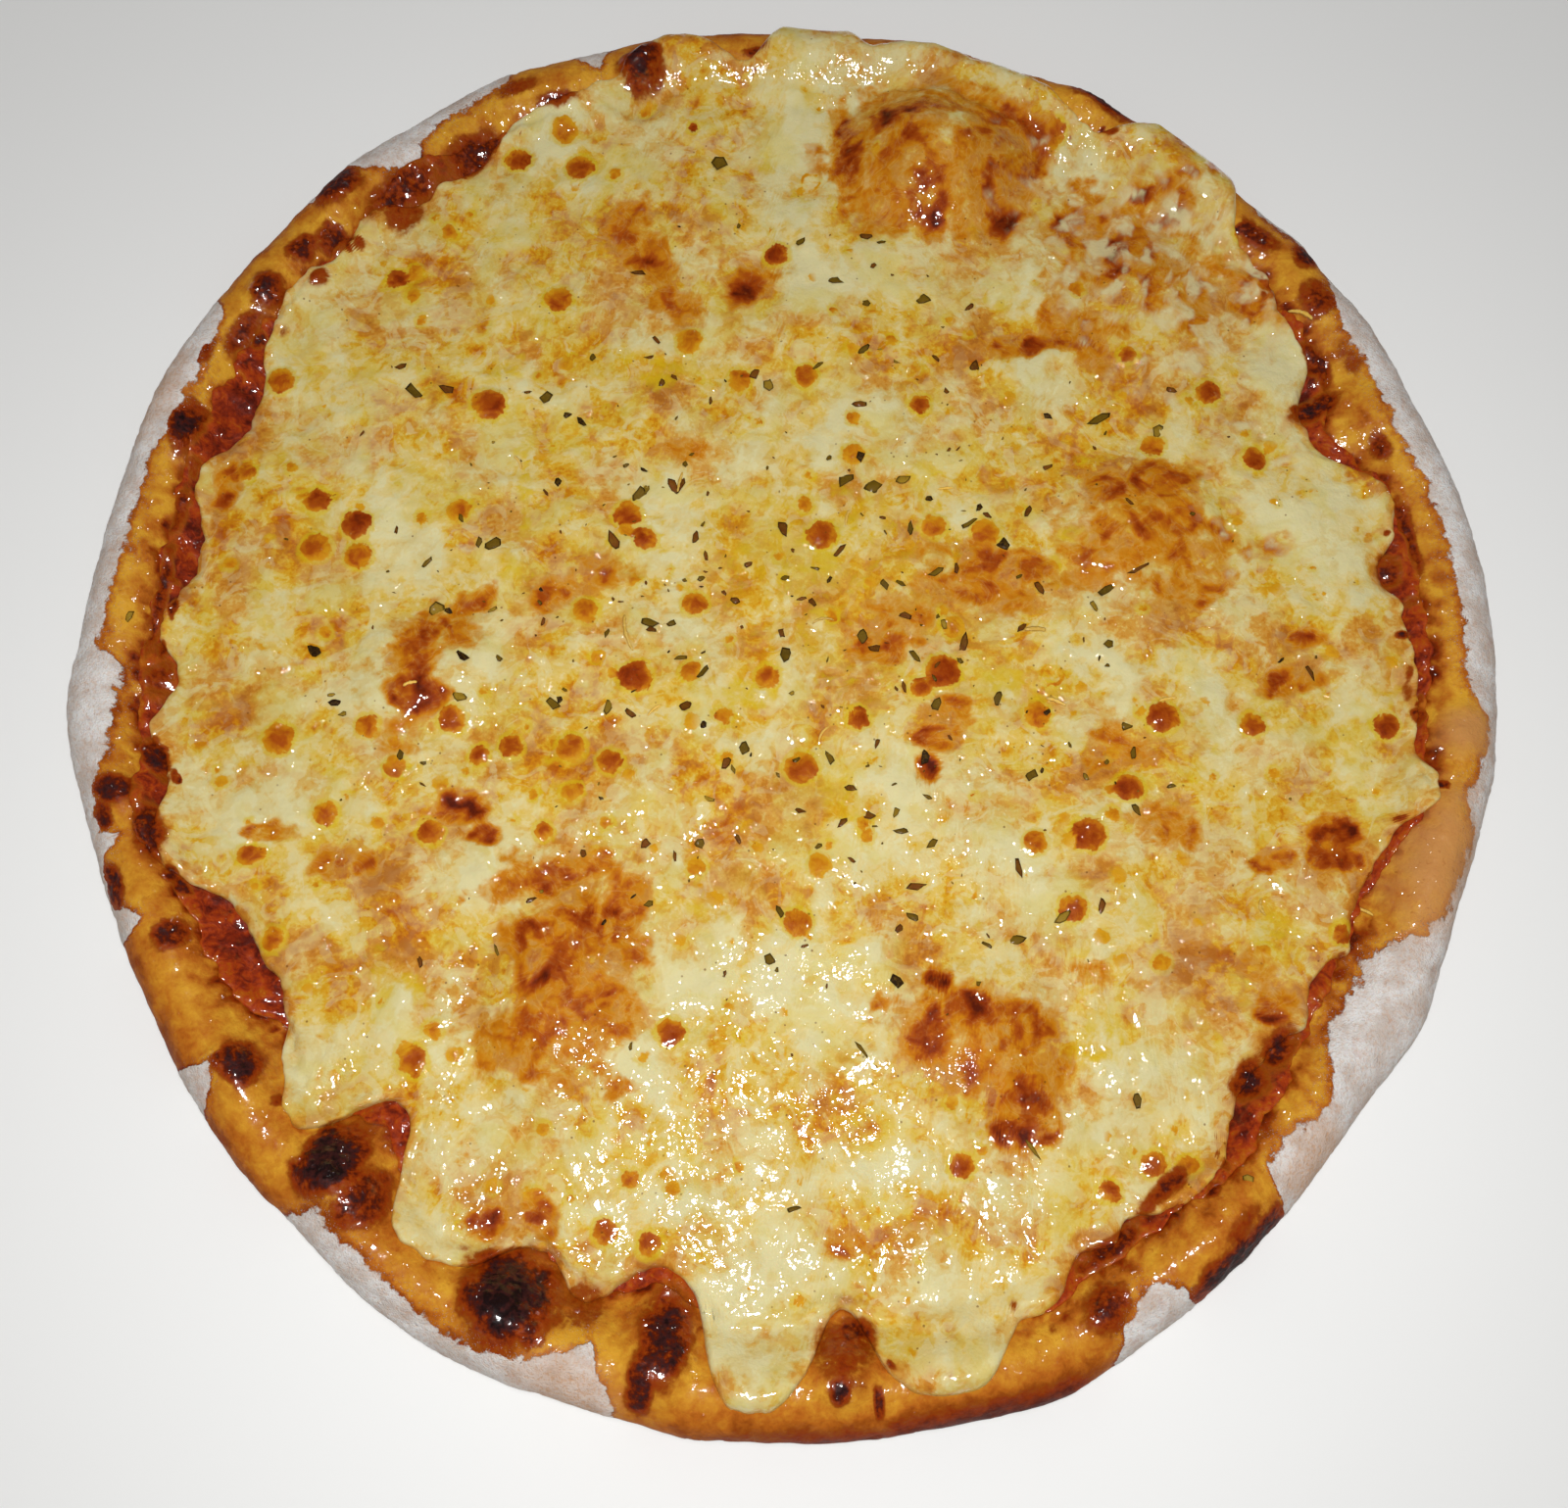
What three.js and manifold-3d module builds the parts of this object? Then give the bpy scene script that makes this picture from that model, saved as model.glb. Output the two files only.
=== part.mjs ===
// A baked margherita pizza: a disc of dough with a raised, blistered rim,
// a thin layer of tomato sauce that shows as a red band inside the rim,
// and a sheet of melted cheese sprinkled with dried oregano flakes.
//
// Millimetres, +Z up. The origin is on the table under the pizza's centre.
// A place on the pizza is given by an angle in degrees, counted from +X
// towards +Y, and an inset: the distance in from the pizza's outer edge.

import * as THREE from 'three';
import Module from 'manifold-3d';

// Driving dimensions
const HALF_WIDTH = 144.5;
const HALF_LENGTH = 149.5;
const WIDEST_HEIGHT = 5.5;
const FOOT_INSET = 4;
const RIM_HEIGHT = 13.5;
const CREST_INSET = 8.5;
const RIM_WIDTH = 22;
const FLOOR_HEIGHT = 5;
const SAUCE_INSET = 14;
const SAUCE_THICKNESS = 1.3;
const SAUCE_ROUNDING = 2.5;
const CHEESE_INSET = 17;
const CHEESE_THICKNESS = 2.6;
const CHEESE_ROUNDING = 3.5;
const CHEESE_LEAST_INSET = 1.5;
const RELIEF_FADE = 12;
const EDGE_FACE = 0.8;
const LAYER_GAP = 0.3;
const BLOB_BASE = 4;

// How the surfaces are divided: points round a ring, insets of the rim's
// rings, and the shares of the radius at which the inner rings lie
const CRUST_AROUND = 96;
const CHEESE_AROUND = 144;
const RIM_INSETS = [0.6, 3, 6.5, 10.5, 14, 18, 22];
const FLOOR_INSET = 26;
const FLOOR_SHARES = [0.93, 0.85, 0.76, 0.66, 0.55, 0.42, 0.24];
const SAUCE_EDGE_INSETS = [0, 2];
const CHEESE_EDGE_INSETS = [0, 1.2, 4, 9];
const CHEESE_SHARES = [0.94, 0.88, 0.82, 0.76, 0.7, 0.63, 0.56, 0.49, 0.41, 0.33, 0.24, 0.14];
const CORE_SHARE = 0.45;

// Short waves along the crest of the rim
const CREST_RIPPLES = [{ waves: 23, size: 0.5, phase: 0 }];

// Where the outline runs outside (+) or inside (-) a plain oval
const OUTLINE_BULGES = [
  { at: 12, wide: 8, out: 1 },
  { at: 31, wide: 5, out: 1.5 },
  { at: 41, wide: 3, out: 1.5 },
  { at: 57, wide: 3, out: 0.6 },
  { at: 70, wide: 26, out: 1.6 },
  { at: 79, wide: 5, out: 1.5 },
  { at: 95, wide: 4, out: 0.8 },
  { at: 104, wide: 5, out: 2 },
  { at: 118, wide: 5, out: 2 },
  { at: 122, wide: 20, out: 4 },
  { at: 134, wide: 5, out: 1.2 },
  { at: 150, wide: 9, out: 1.4 },
  { at: 158, wide: 10, out: 1.8 },
  { at: 187, wide: 6, out: 1.4 },
  { at: 190, wide: 5, out: 1.2 },
  { at: 212, wide: 18, out: -3 },
  { at: 234, wide: 4, out: -1.2 },
  { at: 247, wide: 6, out: 0.9 },
  { at: 265, wide: 4, out: 1 },
  { at: 282, wide: 3, out: -0.7 },
  { at: 284, wide: 16, out: 1.9 },
  { at: 291, wide: 4, out: 1 },
  { at: 324, wide: 21, out: -4.7 },
  { at: 328, wide: 5, out: 2.2 },
  { at: 343, wide: 6, out: -1.3 },
];

// Stretches of the rim that rose more (+) or less (-) than the rest
const RIM_SWELLINGS = [
  { at: 62, wide: 9, up: 1.6 },
  { at: 118, wide: 16, up: -1 },
  { at: 136, wide: 6, up: 1.6 },
  { at: 192, wide: 10, up: -0.8 },
  { at: 214, wide: 9, up: 0.8 },
  { at: 250, wide: 8, up: 1.2 },
  { at: 283, wide: 12, up: 0.8 },
  { at: 306, wide: 6, up: 1.8 },
  { at: 328, wide: 9, up: -1.2 },
  { at: 342, wide: 8, up: 1.4 },
];

// Bubbles in the rim: half-sizes along and across the rim, and their height
const RIM_BUBBLES = [
  { at: 25, inset: 18, along: 9, across: 10, up: 2.6 },
  { at: 64, inset: 5, along: 9, across: 6, up: 1.6 },
  { at: 106, inset: 11, along: 5.5, across: 5.5, up: 2.6 },
  { at: 136, inset: 9, along: 7, across: 7, up: 2 },
  { at: 147, inset: 11, along: 5, across: 5, up: 1.4 },
  { at: 163, inset: 13, along: 6, across: 6, up: 1.6 },
  { at: 186, inset: 19, along: 8, across: 6, up: 1.6 },
  { at: 196, inset: 8, along: 6, across: 6, up: 1.2 },
  { at: 222, inset: 12, along: 8, across: 7, up: 1.8 },
  { at: 234, inset: 17, along: 10, across: 13, up: 4 },
  { at: 250, inset: 15.5, along: 10.5, across: 9.5, up: 4 },
  { at: 262, inset: 16, along: 7.5, across: 13, up: 3.4 },
  { at: 275.5, inset: 15, along: 8, across: 9, up: 3 },
  { at: 295, inset: 10, along: 6, across: 5, up: 1.2 },
  { at: 306, inset: 8, along: 13, across: 10, up: 1.6 },
  { at: 327, inset: 18, along: 7, across: 6, up: 1.8 },
  { at: 341, inset: 9, along: 17, across: 9, up: 1.6 },
  { at: 353, inset: 9, along: 9, across: 8, up: 1.2 },
];

// Large gas bubbles that lift the middle of the dough, with all that lies on it
const FLOOR_BUBBLES = [
  { x: 29, y: 117, alongX: 24, alongY: 20, up: 10.5 },
  { x: 71, y: 28, alongX: 20, alongY: 18, up: 4 },
  { x: -41, y: -76, alongX: 17, alongY: 23, up: 4.5 },
  { x: 38, y: -80, alongX: 18, alongY: 17, up: 4.5 },
  { x: -72, y: -10, alongX: 17, alongY: 14, up: 3 },
  { x: 78, y: 82, alongX: 18, alongY: 20, up: 2.5 },
];

// Where the sauce reaches further out (+) or stays further in (-)
const SAUCE_LOBES = [
  { at: 25, wide: 5, out: -5 },
  { at: 106, wide: 3, out: -4 },
  { at: 128, wide: 6, out: 2 },
  { at: 199, wide: 5, out: 4 },
  { at: 222, wide: 4, out: -5 },
  { at: 234, wide: 5, out: -7 },
  { at: 250, wide: 5, out: -7 },
  { at: 262, wide: 5, out: -7 },
  { at: 275.5, wide: 4, out: -7 },
  { at: 310, wide: 3, out: 2 },
  { at: 331, wide: 9, out: -3.5 },
  { at: 345, wide: 3.5, out: 2 },
];

// Lobes (+) and notches (-) in the cheese's edge
const CHEESE_LOBES = [
  { at: 4, wide: 3, out: -1.5 },
  { at: 9, wide: 2.5, out: -5 },
  { at: 16, wide: 2.5, out: 1.5 },
  { at: 25.5, wide: 5, out: -8.5 },
  { at: 42, wide: 5, out: 3 },
  { at: 53.5, wide: 6.5, out: 19 },
  { at: 76, wide: 13, out: 11.5 },
  { at: 90, wide: 4, out: 15 },
  { at: 102, wide: 4, out: 7 },
  { at: 105, wide: 13, out: 5.5 },
  { at: 124, wide: 3, out: -2.5 },
  { at: 130, wide: 2, out: -2 },
  { at: 136, wide: 3, out: 2 },
  { at: 145, wide: 4, out: 3 },
  { at: 158, wide: 5, out: -5.5 },
  { at: 173.5, wide: 4.5, out: -4 },
  { at: 186, wide: 3, out: -5 },
  { at: 194, wide: 2, out: -1.5 },
  { at: 202, wide: 4, out: 4 },
  { at: 212, wide: 5.5, out: -5.5 },
  { at: 219, wide: 3.5, out: -5 },
  { at: 228, wide: 3, out: 3.5 },
  { at: 234, wide: 3.5, out: -11 },
  { at: 242, wide: 4.5, out: 4 },
  { at: 250.5, wide: 3, out: -6 },
  { at: 261.5, wide: 4, out: -9.5 },
  { at: 269, wide: 4, out: 11 },
  { at: 276, wide: 2, out: -6 },
  { at: 283, wide: 5, out: 10.5 },
  { at: 291.5, wide: 2, out: 2 },
  { at: 295.5, wide: 2, out: -2 },
  { at: 300.5, wide: 1.5, out: -2 },
  { at: 307, wide: 4, out: 2 },
  { at: 317, wide: 5, out: -3 },
  { at: 327.5, wide: 3, out: -5 },
  { at: 336, wide: 4.5, out: -2 },
  { at: 347, wide: 3, out: 5 },
];

// Oregano flakes: how many, their least length and what chance adds to it,
// how far apart they lie and how far from the cheese's edge, and how high
// their outline, crown and root are against the cheese
const FLAKES = { count: 84, length: 2.4, extra: 2, spacing: 5.5, margin: 8 };
const FLAKE_SIDES = 6;
const FLAKE_OUTLINE = 0.35;
const FLAKE_CROWN = 1.1;
const FLAKE_ROOT = -0.9;

// The sprinkle thins out from the centre, and a share of it is one pinch
const SPRINKLE = { x: 0, y: 0, radius: 62 };
const PINCH = { x: 12, y: 36, radius: 14 };
const PINCH_SHARE = 0.1;

// Pale chips of dry herb stalk that landed on the rim
const RIM_CHIPS = [
  { at: 180.5, inset: 11.5, length: 3 },
  { at: 309.7, inset: 10.5, length: 3 },
];

const SEED = 2417;

const TURN = 360;
const radians = THREE.MathUtils.degToRad;

// A repeatable random number from 0 to 1
function makeRandom(seed) {
  let state = seed;
  return () => {
    state = (Math.imul(state, 1664525) + 1013904223) >>> 0;
    return state / 4294967296;
  };
}

// The smaller angle from one direction to another, in degrees
function turnBetween(angle, at) {
  return ((angle - at + 1.5 * TURN) % TURN) - TURN / 2;
}

// The sum of hills spread round the pizza, each measured by one key. The
// steeper a hill is, the flatter its top.
function hills(angle, list, key, steepness = 2) {
  return list.reduce((sum, hill) => {
    const offset = Math.abs(turnBetween(angle, hill.at)) / hill.wide;
    return sum + hill[key] * Math.exp(-(offset ** steepness));
  }, 0);
}

function ripples(angle, list) {
  return list.reduce((sum, r) => sum + r.size * Math.sin(r.waves * radians(angle) + r.phase), 0);
}

// The radius of the pizza's outer edge
function outline(angle) {
  const a = radians(angle);
  const oval = (HALF_WIDTH * HALF_LENGTH)
    / Math.hypot(HALF_LENGTH * Math.cos(a), HALF_WIDTH * Math.sin(a));
  return oval + hills(angle, OUTLINE_BULGES, 'out');
}

function directionOf(x, y) {
  return (THREE.MathUtils.radToDeg(Math.atan2(y, x)) + TURN) % TURN;
}

function smooth(t) {
  const u = Math.min(Math.max(t, 0), 1);
  return u * u * (3 - 2 * u);
}

// Height of a bubble at a distance from its centre, as a share of its size
function bubble(distance) {
  return distance < 1 ? (1 - distance * distance) ** 1.25 : 0;
}

function rimBubbles(angle, inset) {
  return RIM_BUBBLES.reduce((sum, b) => {
    const along = radians(turnBetween(angle, b.at)) * (outline(b.at) - b.inset);
    const distance = Math.hypot(along / b.along, (inset - b.inset) / b.across);
    return sum + b.up * bubble(distance);
  }, 0);
}

function floorBubbles(x, y) {
  return FLOOR_BUBBLES.reduce((sum, b) => {
    const distance = Math.hypot((x - b.x) / b.alongX, (y - b.y) / b.alongY);
    return sum + b.up * bubble(distance);
  }, 0);
}

// Slow rises and falls of a baked surface
function swell(x, y) {
  return 0.5 * Math.sin(x / 9.1 + 1.3) * Math.sin(y / 10.3 + 0.4)
    + 0.35 * Math.sin((x + y) / 6.7 + 2.1) * Math.sin((x - 0.7 * y) / 7.9);
}

// Height of the rim's plain section: a quarter oval outside the crest, and
// a soft slope down to the floor inside it
function rimHeight(angle, inset) {
  const crest = RIM_HEIGHT + hills(angle, RIM_SWELLINGS, 'up') + ripples(angle, CREST_RIPPLES);
  if (inset < CREST_INSET) {
    const out = (CREST_INSET - inset) / CREST_INSET;
    return WIDEST_HEIGHT + (crest - WIDEST_HEIGHT) * Math.sqrt(1 - out * out);
  }
  const slope = smooth((RIM_WIDTH - inset) / (RIM_WIDTH - CREST_INSET));
  return FLOOR_HEIGHT + (crest - FLOOR_HEIGHT) * slope;
}

// Top of the dough
function crustTop(x, y) {
  const angle = directionOf(x, y);
  const inset = Math.max(outline(angle) - Math.hypot(x, y), 0);
  const bubbles = smooth(inset / 3) * rimBubbles(angle, inset) + floorBubbles(x, y);
  return rimHeight(angle, inset) + bubbles;
}

// A layer is thinner towards its edge, where it ends in a low upright face
function layerThickness(depth, thickness, rounding) {
  const t = Math.min(Math.max(depth / rounding, 0), 1);
  return LAYER_GAP + EDGE_FACE + (thickness - EDGE_FACE) * Math.sqrt(t * (2 - t));
}

function sauceEdge(angle) {
  return outline(angle) - SAUCE_INSET + hills(angle, SAUCE_LOBES, 'out');
}

function cheeseEdge(angle) {
  const inset = CHEESE_INSET - hills(angle, CHEESE_LOBES, 'out', 3);
  return outline(angle) - Math.max(inset, CHEESE_LEAST_INSET);
}

// How far inside a layer's edge a place is
function layerDepth(x, y, edge) {
  return edge(directionOf(x, y)) - Math.hypot(x, y);
}

function sauceTop(x, y) {
  const depth = layerDepth(x, y, sauceEdge);
  return crustTop(x, y) + layerThickness(depth, SAUCE_THICKNESS, SAUCE_ROUNDING);
}

function cheeseTop(x, y) {
  const depth = layerDepth(x, y, cheeseEdge);
  const onSauce = smooth(layerDepth(x, y, sauceEdge) / SAUCE_ROUNDING);
  const under = onSauce * (SAUCE_THICKNESS + LAYER_GAP);
  const relief = smooth(depth / RELIEF_FADE) * swell(x, y);
  return crustTop(x, y) + under + relief
    + layerThickness(depth, CHEESE_THICKNESS, CHEESE_ROUNDING);
}

// A ring of points: how many, and where the point at an angle lies
function makeRing(count, place) {
  const points = [];
  for (let i = 0; i < count; i += 1) {
    points.push(place((TURN * i) / count));
  }
  return points;
}

// A ring on a surface, at a share of an edge's radius less a fixed inset
function surfaceRing(count, edge, share, inset, top) {
  return makeRing(count, (angle) => {
    const radius = share * (edge(angle) - inset);
    const x = radius * Math.cos(radians(angle));
    const y = radius * Math.sin(radians(angle));
    return [x, y, top(x, y)];
  });
}

// A ring at a fixed height, set in from an edge
function levelRing(count, edge, inset, height) {
  return makeRing(count, (angle) => {
    const radius = edge(angle) - inset;
    return [radius * Math.cos(radians(angle)), radius * Math.sin(radians(angle)), height];
  });
}

// Joins rings from the bottom centre, up the outside, to the top centre
function shellOfRings(bottom, rings, top) {
  const points = [bottom, ...rings.flat(), top];
  const faces = [];
  const starts = [];
  let next = 1;
  rings.forEach((ring) => {
    starts.push(next);
    next += ring.length;
  });
  const first = rings[0].length;
  for (let i = 0; i < first; i += 1) {
    faces.push([0, 1 + ((i + 1) % first), 1 + i]);
  }
  for (let k = 0; k + 1 < rings.length; k += 1) {
    stitch(faces, starts[k], rings[k].length, starts[k + 1], rings[k + 1].length);
  }
  const last = rings.length - 1;
  const count = rings[last].length;
  for (let i = 0; i < count; i += 1) {
    faces.push([points.length - 1, starts[last] + i, starts[last] + ((i + 1) % count)]);
  }
  return solidFrom(points, faces);
}

// Triangles between two rings, which may differ in their number of points
function stitch(faces, lower, lowerCount, upper, upperCount) {
  let i = 0;
  let j = 0;
  while (i < lowerCount || j < upperCount) {
    const a = lower + (i % lowerCount);
    const b = upper + (j % upperCount);
    const stepLower = (i + 1) / lowerCount;
    const stepUpper = (j + 1) / upperCount;
    if (stepLower <= stepUpper) {
      faces.push([a, lower + ((i + 1) % lowerCount), b]);
      i += 1;
    } else {
      faces.push([a, upper + ((j + 1) % upperCount), b]);
      j += 1;
    }
  }
}

const wasm = await Module();
wasm.setup();

function solidFrom(points, faces) {
  const mesh = new wasm.Mesh({
    numProp: 3,
    vertProperties: new Float32Array(points.flat()),
    triVerts: new Uint32Array(faces.flat()),
  });
  return new wasm.Manifold(mesh);
}

// Inner rings have half of the outer rings' points, and the core a quarter
function innerCount(around, share) {
  return share > CORE_SHARE ? around / 2 : around / 4;
}

// Rings across the middle of the dough, from the rim's foot to the centre
function floorRings(around, top) {
  const ring = (share, count) => surfaceRing(count, outline, share, FLOOR_INSET, top);
  return [ring(1, around), ...FLOOR_SHARES.map((share) => ring(share, innerCount(around, share)))];
}

// A shell of rings raised by a height
function raisedShell(rings, base, summit, lift) {
  const raised = rings.map((ring) => ring.map(([x, y, z]) => [x, y, z + lift]));
  return shellOfRings([0, 0, base + lift], raised, [0, 0, summit + lift]);
}

// The crust: dough from the table up to its top surface
function makeCrust(lift) {
  const rim = (inset) => surfaceRing(CRUST_AROUND, outline, 1, inset, crustTop);
  const rings = [
    levelRing(CRUST_AROUND, outline, FOOT_INSET, 0),
    levelRing(CRUST_AROUND, outline, FOOT_INSET * 0.3, WIDEST_HEIGHT * 0.4),
    levelRing(CRUST_AROUND, outline, 0, WIDEST_HEIGHT),
    ...RIM_INSETS.map(rim),
    ...floorRings(CRUST_AROUND, crustTop),
  ];
  return raisedShell(rings, 0, crustTop(0, 0), lift);
}

// Sauce and all below it down to a low level, before the crust is cut away
function makeSauceBlob(lift) {
  const rings = [
    levelRing(CRUST_AROUND, sauceEdge, 0, BLOB_BASE),
    ...SAUCE_EDGE_INSETS.map((inset) => surfaceRing(CRUST_AROUND, sauceEdge, 1, inset, sauceTop)),
    ...floorRings(CRUST_AROUND, sauceTop),
  ];
  return raisedShell(rings, BLOB_BASE, sauceTop(0, 0), lift);
}

// Cheese and all below it down to a low level, before the rest is cut away
function makeCheeseBlob() {
  const deepest = CHEESE_EDGE_INSETS.at(-1);
  const ring = (count, share, inset) => surfaceRing(count, cheeseEdge, share, inset, cheeseTop);
  const rings = [
    levelRing(CHEESE_AROUND, cheeseEdge, 0, BLOB_BASE),
    ...CHEESE_EDGE_INSETS.map((inset) => ring(CHEESE_AROUND, 1, inset)),
    ...CHEESE_SHARES.map((share) => ring(innerCount(CHEESE_AROUND, share), share, deepest)),
  ];
  return raisedShell(rings, BLOB_BASE, cheeseTop(0, 0), 0);
}

// The largest body of a solid, without the loose scraps that a cut leaves
function withoutScraps(solid) {
  return solid.decompose().reduce((kept, body) => (body.volume() > kept.volume() ? body : kept));
}

// A dried leaf flake: a thin lens with an uneven outline, turned by a heading
function makeFlake(place, top, length, width, heading, random) {
  const points = [];
  const faces = [];
  const uneven = () => 0.8 + 0.3 * random();
  for (let i = 0; i < FLAKE_SIDES; i += 1) {
    const a = (2 * Math.PI * (i + 0.5 * random())) / FLAKE_SIDES;
    const u = 0.5 * length * Math.cos(a) * uneven();
    const v = 0.5 * width * Math.sin(a) * uneven();
    const x = place.x + u * Math.cos(heading) - v * Math.sin(heading);
    const y = place.y + u * Math.sin(heading) + v * Math.cos(heading);
    points.push([x, y, top(x, y) + FLAKE_OUTLINE]);
    faces.push([i, (i + 1) % FLAKE_SIDES, FLAKE_SIDES]);
    faces.push([(i + 1) % FLAKE_SIDES, i, FLAKE_SIDES + 1]);
  }
  const middle = top(place.x, place.y);
  points.push([place.x, place.y, middle + FLAKE_CROWN]);
  points.push([place.x, place.y, middle + FLAKE_ROOT]);
  return solidFrom(points, faces);
}

// A random place in a round sprinkle that is thickest at its middle
function sprinklePlace(area, random) {
  const distance = area.radius * Math.sqrt(-Math.log(1 - 0.98 * random()));
  const heading = 2 * Math.PI * random();
  return {
    x: area.x + distance * Math.cos(heading),
    y: area.y + distance * Math.sin(heading),
  };
}

// Places for the flakes, clear of each other and of the cheese's edge
function flakePlaces(random) {
  const places = [];
  while (places.length < FLAKES.count) {
    const area = places.length < FLAKES.count * PINCH_SHARE ? PINCH : SPRINKLE;
    const place = sprinklePlace(area, random);
    const apart = places.every((p) => Math.hypot(p.x - place.x, p.y - place.y) > FLAKES.spacing);
    if (apart && layerDepth(place.x, place.y, cheeseEdge) > FLAKES.margin) {
      places.push(place);
    }
  }
  return places;
}

function addFlakes(cheese) {
  const random = makeRandom(SEED);
  return flakePlaces(random).reduce((solid, place) => {
    const length = FLAKES.length + FLAKES.extra * random() ** 2;
    const width = length * (0.4 + 0.3 * random());
    const heading = Math.PI * random();
    return solid.add(makeFlake(place, cheeseTop, length, width, heading, random));
  }, cheese);
}

function addRimChips(crust) {
  const random = makeRandom(SEED);
  return RIM_CHIPS.reduce((solid, chip) => {
    const radius = outline(chip.at) - chip.inset;
    const place = {
      x: radius * Math.cos(radians(chip.at)),
      y: radius * Math.sin(radians(chip.at)),
    };
    const heading = Math.PI * random();
    return solid.add(makeFlake(place, crustTop, chip.length, chip.length * 0.6, heading, random));
  }, crust);
}

function geometryOf(solid) {
  const mesh = solid.getMesh();
  const geometry = new THREE.BufferGeometry();
  geometry.setAttribute('position', new THREE.Float32BufferAttribute(mesh.vertProperties, 3));
  geometry.setIndex([...mesh.triVerts]);
  geometry.computeVertexNormals();
  return geometry;
}

function addPart(group, name, solid, look) {
  const part = new THREE.Mesh(geometryOf(solid), new THREE.MeshStandardMaterial(look));
  part.name = name;
  group.add(part);
}

const crust = makeCrust(0);
const crustRoom = makeCrust(LAYER_GAP);
const sauce = makeSauceBlob(0).subtract(crustRoom);
const cutCheese = makeCheeseBlob().subtract(crustRoom).subtract(makeSauceBlob(LAYER_GAP));
const cheese = withoutScraps(cutCheese);

const pizza = new THREE.Group();
pizza.name = 'margherita_pizza';
addPart(pizza, 'crust', addRimChips(crust), { color: 0xd9a862, roughness: 0.75, metalness: 0 });
addPart(pizza, 'tomato_sauce', sauce, { color: 0x8e2413, roughness: 0.4, metalness: 0 });
addPart(pizza, 'melted_cheese', addFlakes(cheese), { color: 0xe3c777, roughness: 0.35, metalness: 0 });

export default pizza;
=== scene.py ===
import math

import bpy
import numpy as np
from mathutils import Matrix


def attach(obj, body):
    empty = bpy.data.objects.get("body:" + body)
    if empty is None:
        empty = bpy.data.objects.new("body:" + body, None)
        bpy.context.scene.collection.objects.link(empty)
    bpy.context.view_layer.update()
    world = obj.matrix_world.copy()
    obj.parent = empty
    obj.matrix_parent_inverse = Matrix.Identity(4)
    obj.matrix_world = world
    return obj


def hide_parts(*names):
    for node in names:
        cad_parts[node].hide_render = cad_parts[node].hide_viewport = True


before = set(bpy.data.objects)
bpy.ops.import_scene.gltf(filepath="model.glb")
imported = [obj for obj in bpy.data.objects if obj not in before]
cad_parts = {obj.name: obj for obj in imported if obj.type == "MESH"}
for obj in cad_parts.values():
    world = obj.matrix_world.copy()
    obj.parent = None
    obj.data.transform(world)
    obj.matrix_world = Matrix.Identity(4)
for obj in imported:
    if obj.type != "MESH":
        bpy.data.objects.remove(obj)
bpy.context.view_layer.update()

# Looks of a baked margherita pizza: floured, blistered crust, a glossy band
# of tomato sauce, a sheet of melted cheese, oregano flakes and herb stalks.
# Work is in millimetres, and meshes are scaled to metres at the end.
# A place is given by x and y, or by an angle in degrees from +X towards +Y
# and an inset, the distance in from the pizza's outer edge.

MM = 0.001

# ------------------------------------------------------------------ dimensions

HALF_WIDTH = 144.5
HALF_LENGTH = 149.5
WIDEST_HEIGHT = 5.5
FOOT_INSET = 4.0
RIM_HEIGHT = 13.5
CREST_INSET = 8.5
RIM_WIDTH = 22.0
FLOOR_HEIGHT = 5.0
SAUCE_INSET = 14.0
SAUCE_THICKNESS = 1.3
SAUCE_ROUNDING = 2.5
CHEESE_INSET = 17.0
CHEESE_THICKNESS = 2.6
CHEESE_ROUNDING = 3.5
CHEESE_LEAST_INSET = 1.5
RELIEF_FADE = 12.0
EDGE_FACE = 0.8
LAYER_GAP = 0.3

# (waves round the pizza, size, phase)
CREST_RIPPLES = [(23, 0.5, 0.0)]

# (angle, half-width in degrees, how far out)
OUTLINE_BULGES = [
    (12, 8, 1), (31, 5, 1.5), (41, 3, 1.5), (57, 3, 0.6), (70, 26, 1.6), (79, 5, 1.5), (95, 4, 0.8),
    (104, 5, 2), (118, 5, 2), (122, 20, 4), (134, 5, 1.2), (150, 9, 1.4), (158, 10, 1.8), (187, 6, 1.4),
    (190, 5, 1.2), (212, 18, -3), (234, 4, -1.2), (247, 6, 0.9), (265, 4, 1), (282, 3, -0.7),
    (284, 16, 1.9), (291, 4, 1), (324, 21, -4.7), (328, 5, 2.2), (343, 6, -1.3),
]
RIM_SWELLINGS = [
    (62, 9, 1.6), (118, 16, -1.0), (136, 6, 1.6), (192, 10, -0.8), (214, 9, 0.8), (250, 8, 1.2),
    (283, 12, 0.8), (306, 6, 1.8), (328, 9, -1.2), (342, 8, 1.4),
]
# (angle, inset, half-size along the rim, half-size across it, height)
RIM_BUBBLES = [
    (25, 18, 9, 10, 2.6), (64, 5, 9, 6, 1.6), (106, 11, 5.5, 5.5, 2.6), (136, 9, 7, 7, 2.0),
    (147, 11, 5, 5, 1.4), (163, 13, 6, 6, 1.6), (186, 19, 8, 6, 1.6), (196, 8, 6, 6, 1.2),
    (222, 12, 8, 7, 1.8), (234, 17, 10, 13, 4.0), (250, 15.5, 10.5, 9.5, 4.0), (262, 16, 7.5, 13, 3.4),
    (275.5, 15, 8, 9, 3.0), (295, 10, 6, 5, 1.2), (306, 8, 13, 10, 1.6), (327, 18, 7, 6, 1.8),
    (341, 9, 17, 9, 1.6), (353, 9, 9, 8, 1.2),
]
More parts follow.
